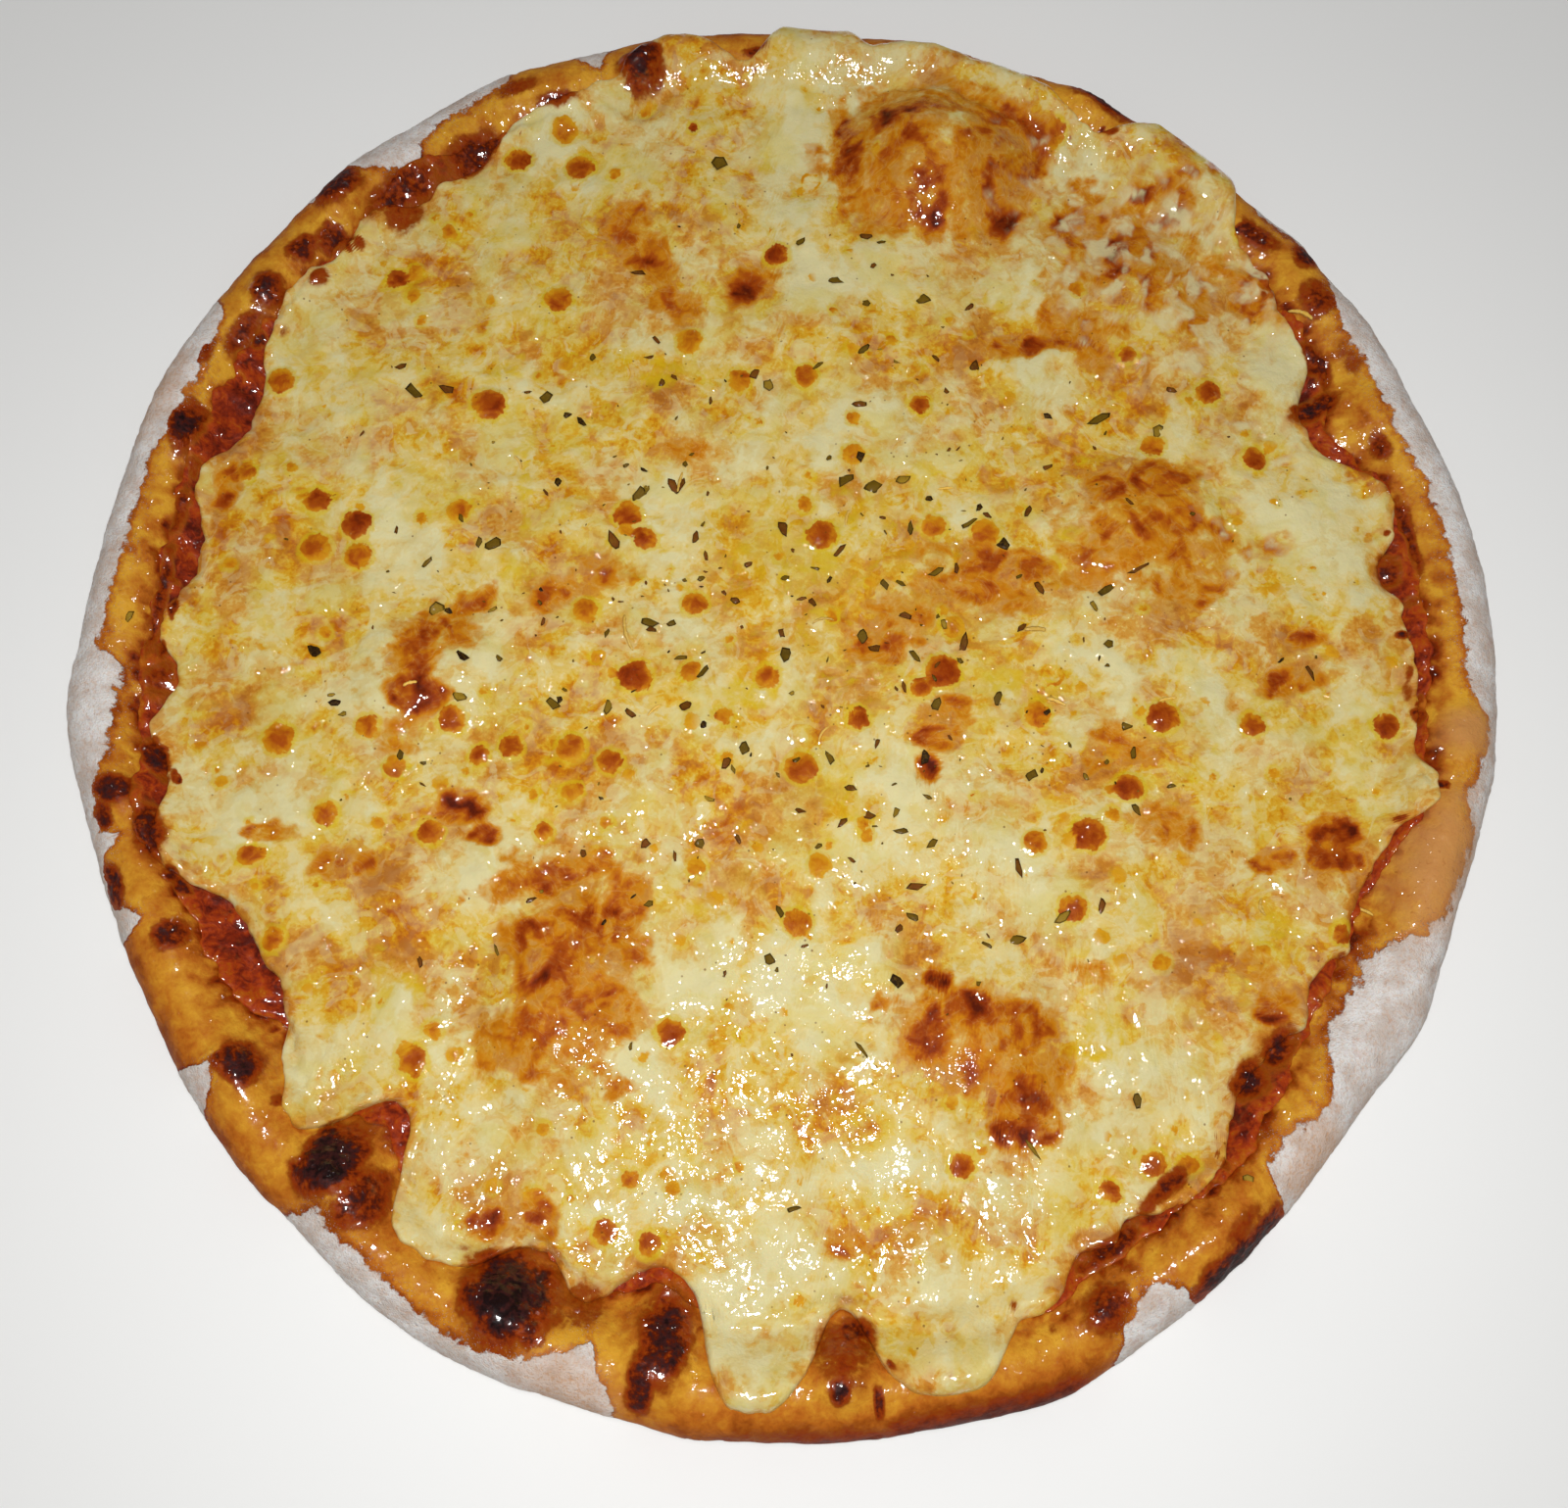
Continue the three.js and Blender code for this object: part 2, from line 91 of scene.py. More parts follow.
# (x, y, half-size along x, half-size along y, height)
FLOOR_BUBBLES = [
    (29, 117, 24, 20, 10.5), (71, 28, 20, 18, 4.0), (-41, -76, 17, 23, 4.5), (38, -80, 18, 17, 4.5),
    (-72, -10, 17, 14, 3.0), (78, 82, 18, 20, 2.5),
]
SAUCE_LOBES = [
    (25, 5, -5), (106, 3, -4), (128, 6, 2), (199, 5, 4), (222, 4, -5), (234, 5, -7), (250, 5, -7),
    (262, 5, -7), (275.5, 4, -7), (310, 3, 2), (331, 9, -3.5), (345, 3.5, 2),
]
CHEESE_LOBES = [
    (4, 3, -1.5), (9, 2.5, -5), (16, 2.5, 1.5), (25.5, 5, -8.5), (42, 5, 3), (53.5, 6.5, 19),
    (76, 13, 11.5), (90, 4, 15), (102, 4, 7), (105, 13, 5.5), (124, 3, -2.5), (130, 2, -2), (136, 3, 2),
    (145, 4, 3), (158, 5, -5.5), (173.5, 4.5, -4), (186, 3, -5), (194, 2, -1.5), (202, 4, 4),
    (212, 5.5, -5.5), (219, 3.5, -5), (228, 3, 3.5), (234, 3.5, -11), (242, 4.5, 4), (250.5, 3, -6),
    (261.5, 4, -9.5), (269, 4, 11), (276, 2, -6), (283, 5, 10.5), (291.5, 2, 2), (295.5, 2, -2),
    (300.5, 1.5, -2), (307, 4, 2), (317, 5, -3), (327.5, 3, -5), (336, 4.5, -2), (347, 3, 5),
]

# ------------------------------------------------------------ what lies where

# How far in the flour reaches from the outer edge, by angle
FLOUR_REACH = [
    (0, 8.5), (16, 9), (33, 9.5), (35, 6), (37, 3), (39.5, -3), (41, 3), (46, 3), (49, -4), (106, -4),
    (108, 3), (109.5, 8), (111, 3), (112, -3), (116, -3), (117.5, 6), (125, 6.5), (127, 9), (129, 13),
    (131, 11), (133, 6), (134.5, -3), (137, -1), (137.8, 5), (139, -3), (149, -3), (151, 7), (156, 9.5),
    (163, 9.5), (166, 7.5), (172, 7.5), (175, 8.5), (178, 6.5), (183, 6.5), (185, 12), (191, 10.5),
    (194, 7), (196, 3.5), (199, 4), (199.8, 7), (201, 2.5), (205, 1.5), (206.5, 6), (207.5, 7),
    (208.5, -2), (218.5, -3), (220.5, 9), (222.5, 3), (224, -3), (232, -2), (234, 6), (239, 6),
    (244, 5), (250, 4), (253, 6), (257, 12), (259, 4), (260.5, -3), (294, -3), (296, 6), (299, 9),
    (301, 4), (302.5, -4), (310, -4), (311.5, 9), (314, 10), (317, 7), (319.5, 8), (322, 11), (325, 15),
    (331, 15), (333, 12), (335, 7), (338, 3.5), (344, 3), (347, 7), (350, 5), (354, 3.5), (357, 7),
]
# Dark, blistered places on the rim: (angle, inset, half-size along, half-size
# across, how dark). 1 is charred black, 0.5 red-brown.
RIM_BURNS = [
    (232.8, 13.5, 4.8, 6, 1.1), (236.4, 12.5, 4.5, 5.5, 0.62), (250.3, 14, 7.5, 6, 1.12),
    (250.5, 7, 5, 3, 0.4), (255.5, 17, 4, 4, 0.35), (261.2, 7.5, 2.2, 5, 0.82),
    (262.3, 15.5, 4.4, 6.5, 0.86), (275.2, 9.5, 1.6, 2.2, 0.85), (275.6, 15, 5, 5.5, 0.4),
    (276.8, 18.5, 3, 2.2, 0.65), (277.8, 7, 0.7, 2.8, 0.8), (222, 12, 4, 3, 0.9),
    (220.8, 9.5, 1.5, 2, 0.6), (209.5, 10.3, 2.6, 3, 0.75), (196, 8.5, 2.6, 4, 0.78),
    (197.6, 4.8, 3, 1.6, 0.7), (203.5, 3, 5, 2, 0.75), (200.5, 12.5, 6, 2.6, 0.7),
    (193.5, 17, 4, 2, 0.8), (306, 1, 11, 3.6, 0.95), (307, 6, 6, 2, 0.4), (295.2, 10, 4.4, 3.4, 0.65),
    (105.8, 11, 4.5, 5, 0.76), (162, 12, 5, 3, 0.85), (160.5, 5, 2.5, 2, 0.5), (135.5, 6.5, 5, 4, 0.8),
    (131, 15, 9, 3, 0.6), (123.5, 16, 6, 3.5, 0.7), (142, 10, 3, 2.5, 0.75), (139.3, 13, 3, 2.5, 0.7),
    (147, 11, 4, 3, 0.7), (143, 17, 2, 1.5, 0.5), (132.5, 19, 4, 4.5, 0.42), (124, 17, 3, 3, 0.4),
    (151.5, 12, 5, 2, 0.6), (155, 8.5, 4, 1.5, 0.5), (63, 2, 8, 4, 0.85), (27.3, 22, 2.2, 5, 0.8),
    (21, 13.5, 3, 1.6, 0.6), (31, 16.5, 5, 1.8, 0.7), (12, 14.5, 9, 1.2, 0.6), (9, 20, 3, 2.5, 0.6),
    (36, 9, 4, 3.5, 0.6), (44, 8.5, 5, 2.5, 0.6), (40, 4, 3, 3, 0.75), (304, 19, 5, 1.5, 0.6),
    (316, 20, 4, 2.5, 0.8), (320, 19, 4, 2.5, 0.75), (186, 19, 4, 2.5, 0.5), (178, 16, 12, 1.0, 0.6),
    (170, 15.5, 6, 1.2, 0.5), (298, 17, 5, 1.6, 0.75), (226, 13.5, 1.2, 1.0, 0.6), (30, 11, 5, 2, 0.32),
    (114, 13, 4, 1.8, 0.6), (117, 7.5, 5, 2, 0.45), (95, 9.5, 3, 1.2, 0.6),
]
# How dark the outer edge of the crust is, by angle
EDGE_TOAST = [
    (0, 0.3), (40, 0.3), (52, 0.6), (62, 0.8), (72, 0.3), (80, 0.6), (92, 0.7), (106, 0.5), (125, 0.2),
    (134, 0.7), (146, 0.8), (152, 0.2), (204, 0.2), (212, 0.8), (220, 0.5), (230, 0.7), (238, 0.2),
    (258, 0.2), (264, 0.7), (272, 1.1), (283, 1.5), (291, 1.5), (293, 0.9), (297, 0.3), (340, 0.2),
]
# How much more or less the crust toasted, by angle
TOAST_AROUND = [
    (0, 0.0), (148, 0.0), (157, -0.12), (163, 0.0), (168, 0.12), (172, -0.12), (178, 0.0), (200, 0.0),
    (213, 0.05), (222, 0.05), (226, 0.2), (230, -0.1), (236, 0.08), (244, 0.18), (251, 0.1),
    (256, -0.12), (261, 0.0), (268, 0.12), (275, 0.0), (292, -0.06), (297, 0.0), (303, 0.14),
    (310, 0.06), (316, 0.0),
]
# Stretches where the crust stayed pale and smooth: (angle, inset, half-size
# along, half-size across, how pale, which is 1 if it isn't given)
RIM_PALE = [
    (341, 8, 14, 7), (353, 8, 5, 5), (160, 3, 10, 5, 0.6), (256, 3, 10, 5, 0.8), (315, 3, 8, 5, 0.8),
]
# How wide and dark the sauce's band shows, by angle, from 0 to 1
SAUCE_DEPTH = [
    (0, 0.7), (12, 0.6), (24, 0.3), (30, 0.9), (38, 0.5), (60, 0.2), (116, 0.3), (130, 1.0), (138, 0.7),
    (148, 0.6), (158, 0.9), (176, 0.8), (186, 0.5), (196, 0.8), (208, 0.8), (216, 0.6), (226, 0.3),
    (244, 0.3), (270, 0.2), (290, 0.5), (298, 0.8), (306, 0.7), (318, 1.0), (328, 0.4), (344, 0.7),
]

# Patches of the cheese: (x, y, half-length, half-width, heading, strength).
# First, where it browned
BROWNED = [
    (20, 117, 15, 17, 0, 0.47), (38, 112, 14, 15, 0, 0.44), (9, 116, 4, 13, 0, 0.85),
    (27, 103, 5, 7, 0, 0.8), (20, 122, 4, 9, 20, 0.75), (43, 104, 4, 8, 0, 0.8),
    (48, 121, 8, 6, 110, 0.7), (36, 127, 14, 6, -20, 0.5), (22, 101, 9, 4, 0, 0.5),
    (72, 26, 15, 14, 20, 0.54), (75, 38, 8, 4, 15, 0.85), (82, 15, 7, 5, 0, 0.5),
    (64, 22, 6, 10, -20, 0.5), (-41, -62, 12, 13, 60, 0.64), (-45, -52, 12, 5, 20, 0.5),
    (-38, -76, 10, 14, 0, 0.52), (-47, -70, 4, 4, 0, 0.9), (-32, -58, 5, 8, -20, 0.7),
    (-48, -84, 9, 6, 0, 0.5), (-35, -90, 8, 3, 0, 0.4), (34, -75, 12, 6, 0, 0.75),
    (37, -84, 13, 7, 0, 0.52), (45, -93, 7, 5, -20, 0.95), (30, -69, 3, 2.5, 0, 1.0),
    (28, -80, 5, 5, 0, 0.6), (46, -77, 6, 5, 0, 0.7), (-74, -4, 7, 8, 0, 0.65),
    (-74.5, -15.5, 5, 4.5, 0, 1.0), (-66, 5, 6, 3, 20, 0.55), (-67, -2, 5, 4, 0, 0.45),
    (-76, -24, 5, 5, 0, 0.45), (-63, -38, 5, 3.5, 0, 0.9), (-59, -43, 3, 2, 0, 0.9),
    (-37, 95, 6, 10, 20, 0.55), (-41, 99, 5, 2.5, 20, 0.6), (-27, 76, 4, 7, 40, 0.5),
    (-12, 83, 5.5, 6, 0, 0.7), (-33, 86, 5, 4, 0, 0.45), (64, 100, 8, 7, 0, 0.7),
    (68, 92, 5, 6, 0, 0.75), (59, 90, 2.2, 5, -10, 0.5), (75, 97, 4, 6, 10, 0.6),
    (87, 84, 5, 9, 10, 0.5), (75, 84, 3.5, 3.5, 0, 0.55), (56, 75, 4, 6, 0, 0.6),
    (48, 70, 7, 3, 10, 0.65), (62, 71, 4.5, 7, 10, 0.5), (83, 109, 6, 3, 15, 0.5),
    (76, 108, 3.5, 1.8, 20, 0.75), (99, 84, 6, 7, 10, 0.75), (103, 93, 7, 8, 0, 0.45),
    (78, 101, 6, 3, 30, 0.55), (91, 113, 7, 3, 70, 0.4), (19, 4, 9, 5, 20, 0.45),
    (19, -1, 7, 4, 10, 0.55), (29, -20, 6, 3.5, 0, 0.6), (27.5, -26, 2.6, 3.4, 0, 0.95),
    (31, -15, 6, 3, 0, 0.5), (66, -21, 8, 5, 0, 0.4), (75, -37, 9, 5, 0, 0.5),
    (101, -5, 6, 3.5, 20, 0.55), (105, 3, 4, 2, 10, 0.6), (99, 24, 6, 2.6, 10, 0.5),
    (39, 15, 13, 8, 0, 0.5), (108, -37, 6, 3, 0, 0.85), (107, -42, 4.5, 3.5, 0, 0.85),
    (96, -43, 4, 2.6, 20, 0.6), (45, -75, 6, 4, 0, 0.5), (60, -66, 7, 2.4, -10, 0.45),
    (50, -85, 5, 4, 0, 0.4), (-100, -44, 5, 1.8, 0, 0.6), (-39, 13, 8, 4, 10, 0.35),
    (-25, 42, 6, 3, 0, 0.4), (-50, 7, 4, 3, 0, 0.5), (92, -66, 5, 6, 0, 0.35), (94, -72, 4, 3, 0, 0.75),
    (-85, -50, 6, 3, 0, 0.5), (-51, -115, 4, 3.4, 0, 0.8), (-42, -113.5, 3.6, 3.4, 0, 0.8),
    (13, -117, 3.5, 2.6, 0, 0.7), (-118, 30, 3, 7, -15, 0.6), (77, 91, 26, 17, -45, 0.4),
]
# Where pale cheese lies torn over the browned cheese
LACE = [
    (82, 88, 36, 24, -45, 0.9), (100, 40, 14, 22, 0, 0.7), (-104, 44, 12, 16, 0, 0.6),
    (-70, 20, 16, 14, 0, 0.5), (-20, 112, 26, 12, 0, 0.6), (-60, 95, 20, 14, 30, 0.5),
    (70, -60, 20, 16, 0, 0.5),
]
# Where it took some colour all over
HAZE = [
    (-78, 93, 6, 14, 0, 0.8), (-62, 104, 7, 5, 0, 0.5), (-44, 88, 10, 9, 0, 0.7),
    (-95, 63, 10, 7, 0, 0.55), (-73, 55, 7, 5, 0, 0.7), (-88, 46, 7, 5, 0, 0.6),
    (-112, 22, 10, 8, 0, 0.6), (-100, 14, 14, 5, 0, 0.6), (-72, 33, 9, 8, 0, 0.4),
    (-33, 106, 12, 6, 0, 0.65), (-15, 74, 14, 5, 0, 0.5), (-13, 48, 6, 9, 0, 0.8),
    (30, 68, 14, 7, 10, 0.6), (42, 58, 6, 6, 0, 0.4), (-10, 20, 14, 12, 0, 0.6),
    (8, 25, 14, 7, 0, 0.55), (26, 10, 18, 12, 0, 0.6), (45, 14, 14, 9, 0, 0.8),
    (62, 44, 12, 9, 20, 0.6), (-8, -38, 11, 9, 0, 0.8), (-30, -12, 8, 6, 0, 0.4),
    (-98, -4, 10, 6, 0, 0.45), (-112, -20, 9, 12, 0, 0.5), (-76, -57, 13, 11, 0, 0.8),
    (-50, 5, 9, 7, 0, 0.5), (-42, -24, 7, 8, 0, 0.6), (-88, -68, 10, 10, 0, 0.35),
    (-14, -88, 10, 7, 0, 0.4), (3, -92, 12, 12, 0, 0.45), (24, -112, 7, 6, 0, 0.6),
    (56, -26, 6, 8, 0, 0.6), (82, -70, 12, 9, 0, 0.65), (82, -38, 12, 7, 0, 0.5),
    (92, -55, 9, 7, 0, 0.5), (100, 2, 14, 7, 0, 0.5), (76, 8, 14, 5, 0, 0.5), (45, 110, 12, 14, 0, 0.5),
    (-4, -18, 9, 4, 0, 0.4), (14, -5, 12, 8, 0, 0.4), (52, -90, 10, 9, 0, 0.45),
    (-45, -65, 18, 16, 60, 0.5), (-60, 75, 14, 9, 0, 0.35),
]
# Where yellow oil lies on it
OIL = [
    (8, 14, 34, 26, 0, 0.5), (-57, 33, 2, 10, 8, 0.9), (-62, 60, 7, 3, 40, 0.6),
    (-30, 60, 9, 4, 20, 0.8), (-37, 63, 5, 3, 0, 0.5), (-57, 13, 5, 4, 0, 0.6),
    (-107, 37, 3, 3, 0, 0.6), (-108, -28, 8, 3, 0, 0.5), (-8, -12, 5, 3, 0, 0.9),
    (3, 15, 5, 1.5, 0, 0.8), (36, 14, 5, 4, 0, 0.6), (43, -7, 6, 6, 0, 0.9), (13, -12, 6, 3, 0, 0.4),
    (57, 22, 5, 5, 0, 0.7), (42, 80, 6, 2, 0, 0.6), (120, -6, 4, 4, 0, 0.6), (75, 72, 6, 3, 0, 0.5),
    (60, -80, 6, 4, 0, 0.7), (95, -55, 5, 4, 0, 0.6), (-73, -72, 9, 4, -40, 0.6),
    (-38, -43, 5, 3, 0, 0.5), (-14, -56, 6, 3, 0, 0.6), (36, -54, 6, 5, 0, 0.4),
    (12, -36, 5, 8, 20, 0.5), (28, -115, 6, 4, 0, 0.5), (48, 5, 12, 3, 10, 0.4),
    (-10, 115, 4, 4, 0, 0.6), (25, 38, 12, 2.5, 15, 0.5),
]
# Where it stayed pale
PALE = [
    (-3, 118, 9, 16, 0, 0.9), (6, 84, 12, 10, 0, 0.7), (-58, 121, 8, 7, 0, 0.8),
    (-110, 68, 9, 9, 0, 0.5), (-78, 62, 6, 6, 0, 0.3), (-82, 20, 8, 9, 0, 0.8),
    (-106, -37, 12, 9, 0, 0.7), (-92, -22, 9, 8, 0, 0.45), (-63, -10, 6, 8, 0, 0.6),
    (-54, -52, 10, 9, 0, 1.0), (-26, 24, 8, 14, 10, 0.7), (12, 48, 22, 6, 10, 0.6),
    (-9, 45, 13, 8, 0, 0.55), (20, 42, 14, 6, 0, 0.45), (50, 60, 8, 5, 0, 0.4), (47, 88, 5, 12, 0, 0.8),
    (62, 114, 8, 5, 0, 0.7), (92, 119, 6, 9, 30, 0.8), (86, 100, 9, 5, 0, 0.7), (104, 66, 7, 7, 0, 0.8),
    (108, 28, 10, 12, 0, 0.8), (110, 12, 9, 4, 0, 0.6), (86, -14, 4, 12, 5, 0.9),
    (62, -2, 8, 5, 0, 0.7), (66, -33, 9, 4, 0, 0.7), (22, -26, 6, 9, 0, 0.8), (-10, -21, 6, 5, 0, 0.6),
    (0, -4, 6, 4, 0, 0.5), (6, -70, 15, 12, 0, 1.0), (-12, -66, 8, 8, 0, 0.8), (15, -45, 12, 8, 0, 0.7),
    (45, -48, 10, 9, 0, 0.8), (60, -57, 9, 6, 0, 0.7), (58, -93, 9, 7, 0, 0.8), (73, -85, 7, 9, 0, 0.6),
    (-74, -83, 9, 7, 0, 0.8), (-90, -86, 6, 7, 0, 0.8), (-62, -84, 7, 7, 0, 0.7),
    (-64, -114, 14, 5, -30, 0.8), (-24, -88, 8, 7, 0, 0.7), (0, -123, 12, 10, 0, 0.7),
    (35, -125, 12, 7, 0, 0.7), (14, -103, 20, 9, 0, 0.4), (-28, -108, 15, 8, 0, 0.5),
    (124, -28, 5, 6, 0, 0.4), (60, 121, 6, 8, 0, 0.5), (-100, -75, 3, 8, 20, 0.5),
    (-4, -137, 8, 8, 0, 0.5), (31, -136, 9, 7, 0, 0.45),
]
# Round blisters of browned cheese: (x, y, radius, how dark)
BLISTERS = [
    (-55, 121, 2.8, 0.4), (-51, 112, 3.2, 0.7), (-65, 113, 2.8, 0.8), (-89, 81, 2.2, 0.9),
    (-85, 83, 2, 0.5), (-53, 77, 3, 0.6), (-66, 51, 3.6, 0.75), (-111, 55, 2.8, 0.7),
    (-26, 123, 1.1, 1.0), (-6, 90.5, 2.7, 0.9), (-24, 68, 3, 0.5), (-13, 59, 2.6, 0.55),
    (1.5, 60.5, 2.6, 0.6), (26, 54.5, 2.3, 0.8), (12, 42, 2.4, 0.45), (55, 122, 2.8, 0.6),
    (81.5, 124.5, 2.4, 0.6), (71, 68, 2, 0.7), (88, 59.5, 2.8, 0.8), (97, 97, 2.2, 0.8),
    (97, 44, 2.6, 0.8), (75.5, 46.5, 2.4, 0.6), (-100, 27, 2.8, 0.85), (-91, 22, 3, 0.9),
    (-90, 15, 2.8, 0.6), (-115.5, 33, 2.2, 0.7), (-99, 16.5, 3.2, 0.6), (-70, 26, 2.6, 0.5),
    (-55, -25, 2.3, 0.75), (-67, -20, 2.8, 0.7), (-61, -27, 2, 0.75), (-43, -25, 3, 0.55),
    (-101, -25, 3.2, 0.6), (-83.5, -22, 2.2, 0.6), (-90, -40, 2.4, 0.6), (-77, -30, 2.2, 0.6),
    (-69, -43, 2.6, 0.75), (-42, -34, 2, 0.55), (-35, 26.5, 2.9, 0.75), (-31, 21, 2.5, 0.8),
    (5.5, 23, 3.2, 0.75), (2, 30, 1.8, 0.6), (-20, 7, 2.6, 0.7), (-42, 4.5, 2.6, 0.5),
    (-31, -9.5, 3.4, 0.9), (-4.5, -8.5, 2.4, 0.65), (-20, -8, 2.1, 0.6), (31, -6, 3.6, 0.85),
    (26.5, -10, 2.2, 0.75), (14, -16.5, 2.3, 0.85), (-13, -17, 1.8, 0.6), (-35, -27.5, 2.5, 0.75),
    (3, -27, 3.3, 0.65), (29, 26, 2.6, 0.6), (40, 25, 3, 0.55), (33, 4, 2.4, 0.4),
    (75, -14.5, 3.3, 0.85), (93, -15.5, 2.4, 0.75), (50, -14.5, 2.7, 0.6), (49, -41, 2.4, 0.6),
    (59.5, -39, 3.4, 0.85), (68, -29, 2.8, 0.8), (120, -14.5, 2.6, 0.9), (3, -58.5, 2.6, 0.7),
    (-20, -80, 2.6, 0.75), (56, -54, 2.7, 0.75), (-30, -116, 2.3, 0.7), (-22, -118, 2.2, 0.75),
    (34.5, -102.5, 2.3, 0.8), (61.5, -106, 2.1, 0.8), (-68, -87, 2.7, 0.7), (-26, -107, 1.6, 0.6),
    (7, -47, 2.3, 0.35), (-17, -48, 1.8, 0.5), (70, -101, 2.4, 0.7), (76, -101, 1.6, 0.6),
    (-104, -49, 2, 0.7), (-97, -65, 2.2, 0.6), (108, -57, 1.9, 0.85), (-47, -42, 1.8, 0.7),
]
# Small bubbles that burst and left a ring: (x, y, radius)
RINGS = [
    (14, -97, 1.9), (105.3, -7, 0.9), (108.5, 12.8, 1.2), (53, -6, 2.6), (68.5, 34.5, 0.8),
    (-96.5, 28, 0.8), (37, -93, 2.2), (90.5, 28.5, 1.2), (1, 110, 2.4),
]

# Oregano flakes that stand out: (x, y, length, width, heading, tone)
# Tone: 0 grey-green, 1 dark brown, 2 nearly black, 3 pale straw-green
FLAKES = [
    (-86, 59.5, 3.2, 1.7, 10, 1), (-82, 53, 5.2, 2.2, 140, 0), (-19.5, 113.5, 4.2, 3, 70, 0),
    (7, 84, 3.6, 1.6, -10, 0), (15.3, 88.3, 2, 1.3, 50, 1), (14, 78.8, 2.4, 1.4, -20, 0),
    (13.6, 67, 2.8, 1.4, 40, 0), (3.8, 63, 4.2, 1.2, 35, 0), (-6.5, 57.8, 2.6, 2.2, 90, 3),
    (37.7, 64, 3.4, 2, 70, 1), (64.5, 52.5, 5.6, 2, 25, 0), (-49, 49, 1.8, 1.4, 20, 2),
    (-46, 47.4, 2.6, 1.3, -50, 2), (-72.5, 3.2, 3.6, 2.6, 30, 3), (-70, 3.3, 1.8, 1.3, 0, 2),
    (-62, 18.5, 4, 2.4, 20, 0), (-65, 18.8, 2.4, 1.3, 80, 0), (-37.5, 20.2, 4.2, 2.4, -60, 1),
    (-20.5, 21.6, 3.4, 1.5, 80, 1), (-24, 33.7, 4, 1.4, 70, 1), (10.5, 36, 4.6, 3.2, 20, 0),
    (16.3, 34.5, 4.6, 3, 10, 0), (28.2, 32.2, 2, 1.8, 0, 2), (36.5, 27, 4.2, 1.4, 35, 0),
    (43.6, 22.3, 3.2, 2.8, -40, 2), (9.3, 19.3, 4.8, 1.1, 45, 1), (-29, 2.5, 3.6, 1.9, -10, 0),
    (35.3, 0, 4.6, 1.8, 75, 1), (17.2, -1.5, 2.6, 1.8, 0, 1), (25.3, -3.2, 3, 1.4, -50, 0),
    (-36, -16, 3.4, 1.8, 70, 3), (-31.5, -17.4, 2.8, 1.2, -30, 1), (8.5, -25, 3.8, 1.5, -60, 0),
    (27.5, -24.5, 3, 2, 80, 2), (50.8, 12.6, 3.4, 1.6, -50, 1), (64.7, 12.5, 4.8, 1.9, 35, 0),
    (71, 16.7, 5.4, 0.8, 25, 1), (105.6, -3.4, 4, 1.1, -65, 1), (48.5, -27.4, 2.6, 1.9, 40, 0),
    (51.8, -14.2, 2, 1.3, 20, 2), (22, -69, 3, 2.8, 20, 2), (67.3, -89.5, 3.4, 2, 100, 0),
    (45, -60.5, 4, 2.2, 10, 0), (26, -50.4, 3.6, 1.5, 10, 1), (29, -42, 2.8, 1.4, 55, 0),
    (-54, -66, 3.8, 0.8, 110, 0), (-9, -42.4, 3.8, 1.3, -60, 1), (-16.3, -43.5, 2.2, 1.8, 0, 0),
    (3.8, -111, 2.8, 1, 15, 0), (15.7, -82, 4, 0.9, -50, 0), (47.6, -99, 4, 1, -55, 3),
]
# Straw-coloured stalks: (x, y, length, thickness, heading, bend)
STALKS = [
    (-33, 0, 8, 0.7, 106, 0.3), (-24.3, 34, 4.6, 0.6, 80, 0.1), (31.5, 34.6, 3.4, 0.5, 8, 0.2),
    (49.8, 3.5, 4.2, 1.0, 0, 0.1), (76.3, -10.6, 3.6, 0.6, 12, 0.2), (53.8, -11.8, 4.2, 0.8, -22, 0.2),
    (-75.6, -13.4, 2.8, 0.7, 20, 0.3), (11, 27.2, 3.6, 0.6, 80, 0.2), (6.5, 3.6, 4.4, 0.5, 12, 0.6),
    (-58.8, 37.6, 3.4, 0.6, -60, 0.4), (7.2, -20.2, 3.6, 0.5, 60, 0.5),
    (93.3, -52.2, 3.4, 0.6, 100, 0.7), (-26.8, -16.6, 3.6, 0.5, 45, 0.3),
    (112.5, -52.3, 4.2, 0.6, -25, 0.5), (108.4, 78.2, 5.4, 1.0, -30, 0.4),
]
# Chips of dry herb on the rim: (angle, inset, length, width, heading)
RIM_CHIPS = [(180.5, 11.5, 2.6, 1.5, 70), (309.7, 10.5, 2.8, 1.6, -10)]

SPRINKLE_RADIUS = 58.0
SPRINKLE_COUNT = 300
SMALL_BLISTERS = 260
RIM_SPECKS = 160
SEED = 2417

# --------------------------------------------------------------------- colours


def srgb(red, green, blue):
    """A colour named by its 0 to 255 screen values, as linear light."""
    value = np.array([red, green, blue]) / 255.0
    return np.where(value <= 0.04045, value / 12.92, ((value + 0.055) / 1.055) ** 2.4)


PALE_CHEESE = srgb(212, 201, 150)
CREAM = srgb(213, 186, 110)
BUTTER = srgb(208, 172, 62)
ORANGE_FAT = srgb(204, 148, 24)
DEEP_ORANGE = srgb(190, 116, 14)
BAKED_BROWN = srgb(165, 78, 12)
RED_BROWN = srgb(138, 50, 4)
DARK_RED = srgb(84, 24, 6)
CHARRED = srgb(62, 28, 26)
SOOT = srgb(30, 16, 16)
SAND = srgb(206, 182, 112)
PEACH = srgb(204, 160, 76)
APRICOT = srgb(194, 130, 40)
RUSSET = srgb(172, 104, 32)
MAUVE = srgb(186, 136, 84)
GOLD_OIL = srgb(204, 172, 24)
GREEN_OIL = srgb(202, 180, 66)
AMBER_CRUST = srgb(210, 153, 44)
GOLDEN = srgb(194, 128, 34)
OILED = srgb(176, 97, 24)
TOASTED = srgb(144, 70, 10)
PALE_CRUST = srgb(192, 134, 78)
DOUGH = srgb(222, 188, 142)
SCORCHED_SOLE = srgb(70, 34, 18)
